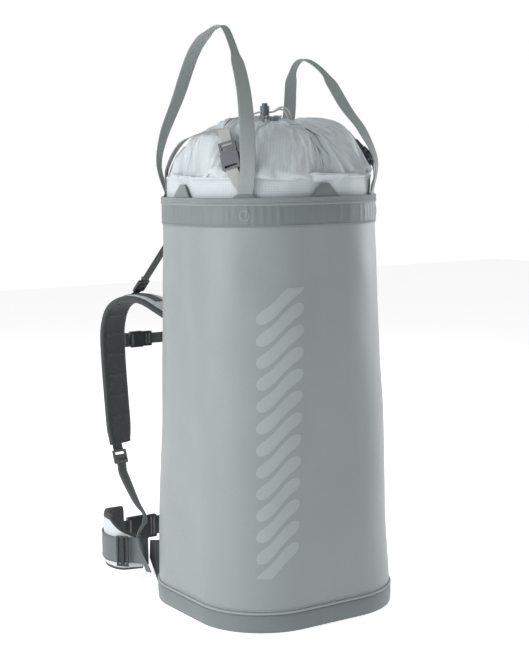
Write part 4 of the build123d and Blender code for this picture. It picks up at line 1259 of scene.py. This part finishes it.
def straight_web(name, node, body, material, thick=0.0020):
    """Straight webbing along X between a CAD node's ends, with a slight sag."""
    low, high = box(node)
    middle = (low + high) / 2
    x = np.linspace(low[0], high[0], 40)
    sag = 0.0012 * np.sin(np.linspace(0, math.pi, 40))
    points = np.column_stack([x, np.full(40, middle[1]) + sag * 0.3, np.full(40, middle[2]) - sag * 0.2])
    frames = path_frames(points, (0, 0, 1), 60)
    piece = carried(name, frames, strap_profile(high[2] - low[2], thick), material, body)
    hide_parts(node)


straight_web("sternum_strap_short", "sternum_web_short", "sternum", DARK_WEB)
straight_web("sternum_strap_long", "sternum_web_long", "sternum_plug", DARK_WEB)
straight_web("hip_strap_short", "hip_web_short", "bag", DARK_WEB)
straight_web("hip_strap_long", "hip_web_long", "hip_plug", DARK_WEB)

# ================= side print: a twisted-rope motif up one corner =================
PRINT_LOW, PRINT_HIGH, PRINT_WIDE = 0.094, 0.550, 0.070
PRINT_AT = 0.918
STRANDS = 13


def print_strand(index):
    """One slanted, S-shaped bar of the rope motif, laid on the wall just proud of it: across runs
    the bar, its middle line climbs as a smooth step and its ends narrow to points."""
    pitch = (PRINT_HIGH - PRINT_LOW) / STRANDS
    t = np.linspace(-1, 1, 61)
    w = np.linspace(-1, 1, 9)
    climb = 0.5 * pitch * (1.5 * t + 0.28 * np.sin(math.pi * t))
    half = 0.36 * pitch * np.sqrt(np.maximum(1 - t ** 4, 0.0)) + 0.0003
    z = PRINT_LOW + pitch * (index + 0.5) + climb[:, None] + half[:, None] * w[None]
    z = np.clip(z, PRINT_LOW - 0.006, PRINT_HIGH + 0.006)
    around = PRINT_AT + np.broadcast_to(t[:, None] * PRINT_WIDE / 2 / TUBE_GIRTH * 1.06, z.shape)
    lift = dents(around.ravel(), z.ravel())
    points = tube_surface(around.ravel(), z.ravel(), lift + 0.00030)[0]
    faces = grid_faces(*z.shape)[:, ::-1].tolist()
    uvs = np.stack([around * TUBE_GIRTH, z], axis=-1).reshape(-1, 2)
    put_mesh("rope_print_%02d" % index, points, faces, uvs, PRINT, "bag")


for strand in range(STRANDS):
    print_strand(strand)

# ================= CAD nodes that stay: moulded plastic and the lock's spring =================
STEEL = plastic_material("spring_steel", linear(150, 152, 154), roughness=0.3)
BLACK_NODES = ("hip_", "sternum_", "lifter_lock", "strap_lock", "belt_sliders")
for node_name, node_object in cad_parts.items():
    material = PLASTIC_BLACK if node_name.startswith(BLACK_NODES) else PLASTIC
    if node_name == "cord_lock_spring":
        material = STEEL
    for slot_index in range(max(1, len(node_object.material_slots))):
        if len(node_object.data.materials) <= slot_index:
            node_object.data.materials.append(material)
        else:
            node_object.material_slots[slot_index].material = material

# ================= floor, world and lights =================
floor_mesh = bpy.data.meshes.new("floor")
FLOOR_HALF, FLOOR_DOWN = 6.0, -0.0005
floor_corners = [(FLOOR_HALF * x, FLOOR_HALF * y, FLOOR_DOWN) for x, y in ((-1, -1), (1, -1), (1, 1), (-1, 1))]
floor_mesh.from_pydata(floor_corners, [], [(0, 1, 2, 3)])
floor_material = bpy.data.materials.new("floor")
floor_material.use_nodes = True
floor_shader = floor_material.node_tree.nodes["Principled BSDF"]
floor_shader.inputs["Base Color"].default_value = (0.92, 0.92, 0.92, 1.0)
floor_shader.inputs["Roughness"].default_value = 0.9
floor_shader.inputs["Emission Color"].default_value = (1.0, 1.0, 1.0, 1.0)
floor_shader.inputs["Emission Strength"].default_value = 0.62
floor_mesh.materials.append(floor_material)
floor = bpy.data.objects.new("floor", floor_mesh)
bpy.context.scene.collection.objects.link(floor)

world = bpy.data.worlds.new("studio")
bpy.context.scene.world = world
world.use_nodes = True
sky = world.node_tree.nodes["Background"]
sky.inputs["Strength"].default_value = 0.34
backdrop = world.node_tree.nodes.new("ShaderNodeBackground")
for surround in (sky, backdrop):
    surround.inputs["Color"].default_value = (1.0, 1.0, 1.0, 1.0)
seen_by = world.node_tree.nodes.new("ShaderNodeLightPath")
chosen = world.node_tree.nodes.new("ShaderNodeMixShader")
world.node_tree.links.new(seen_by.outputs["Is Camera Ray"], chosen.inputs[0])
world.node_tree.links.new(sky.outputs[0], chosen.inputs[1])
world.node_tree.links.new(backdrop.outputs[0], chosen.inputs[2])
world.node_tree.links.new(chosen.outputs[0], world.node_tree.nodes["World Output"].inputs["Surface"])
bpy.context.scene.view_settings.view_transform = "Standard"


def softbox(name, place, size, power):
    """Square area light aimed at the middle of the bag."""
    data = bpy.data.lights.new(name, "AREA")
    data.shape = "SQUARE"
    data.size = size
    data.energy = power
    light = bpy.data.objects.new(name, data)
    bpy.context.scene.collection.objects.link(light)
    light.location = place
    light.rotation_euler = (Vector(place) - Vector((0, 0, 0.45))).to_track_quat("Z", "Y").to_euler()


softbox("left", (-2.5, 0.05, 1.15), 1.5, 42.0)
softbox("right", (2.5, 0.15, 1.15), 1.5, 34.0)
softbox("back", (-0.6, 2.6, 1.5), 1.2, 14.0)
softbox("front", (-0.9, -2.8, 1.6), 1.0, 4.0)
softbox("top", (-0.3, 0.3, 3.0), 1.0, 6.0)
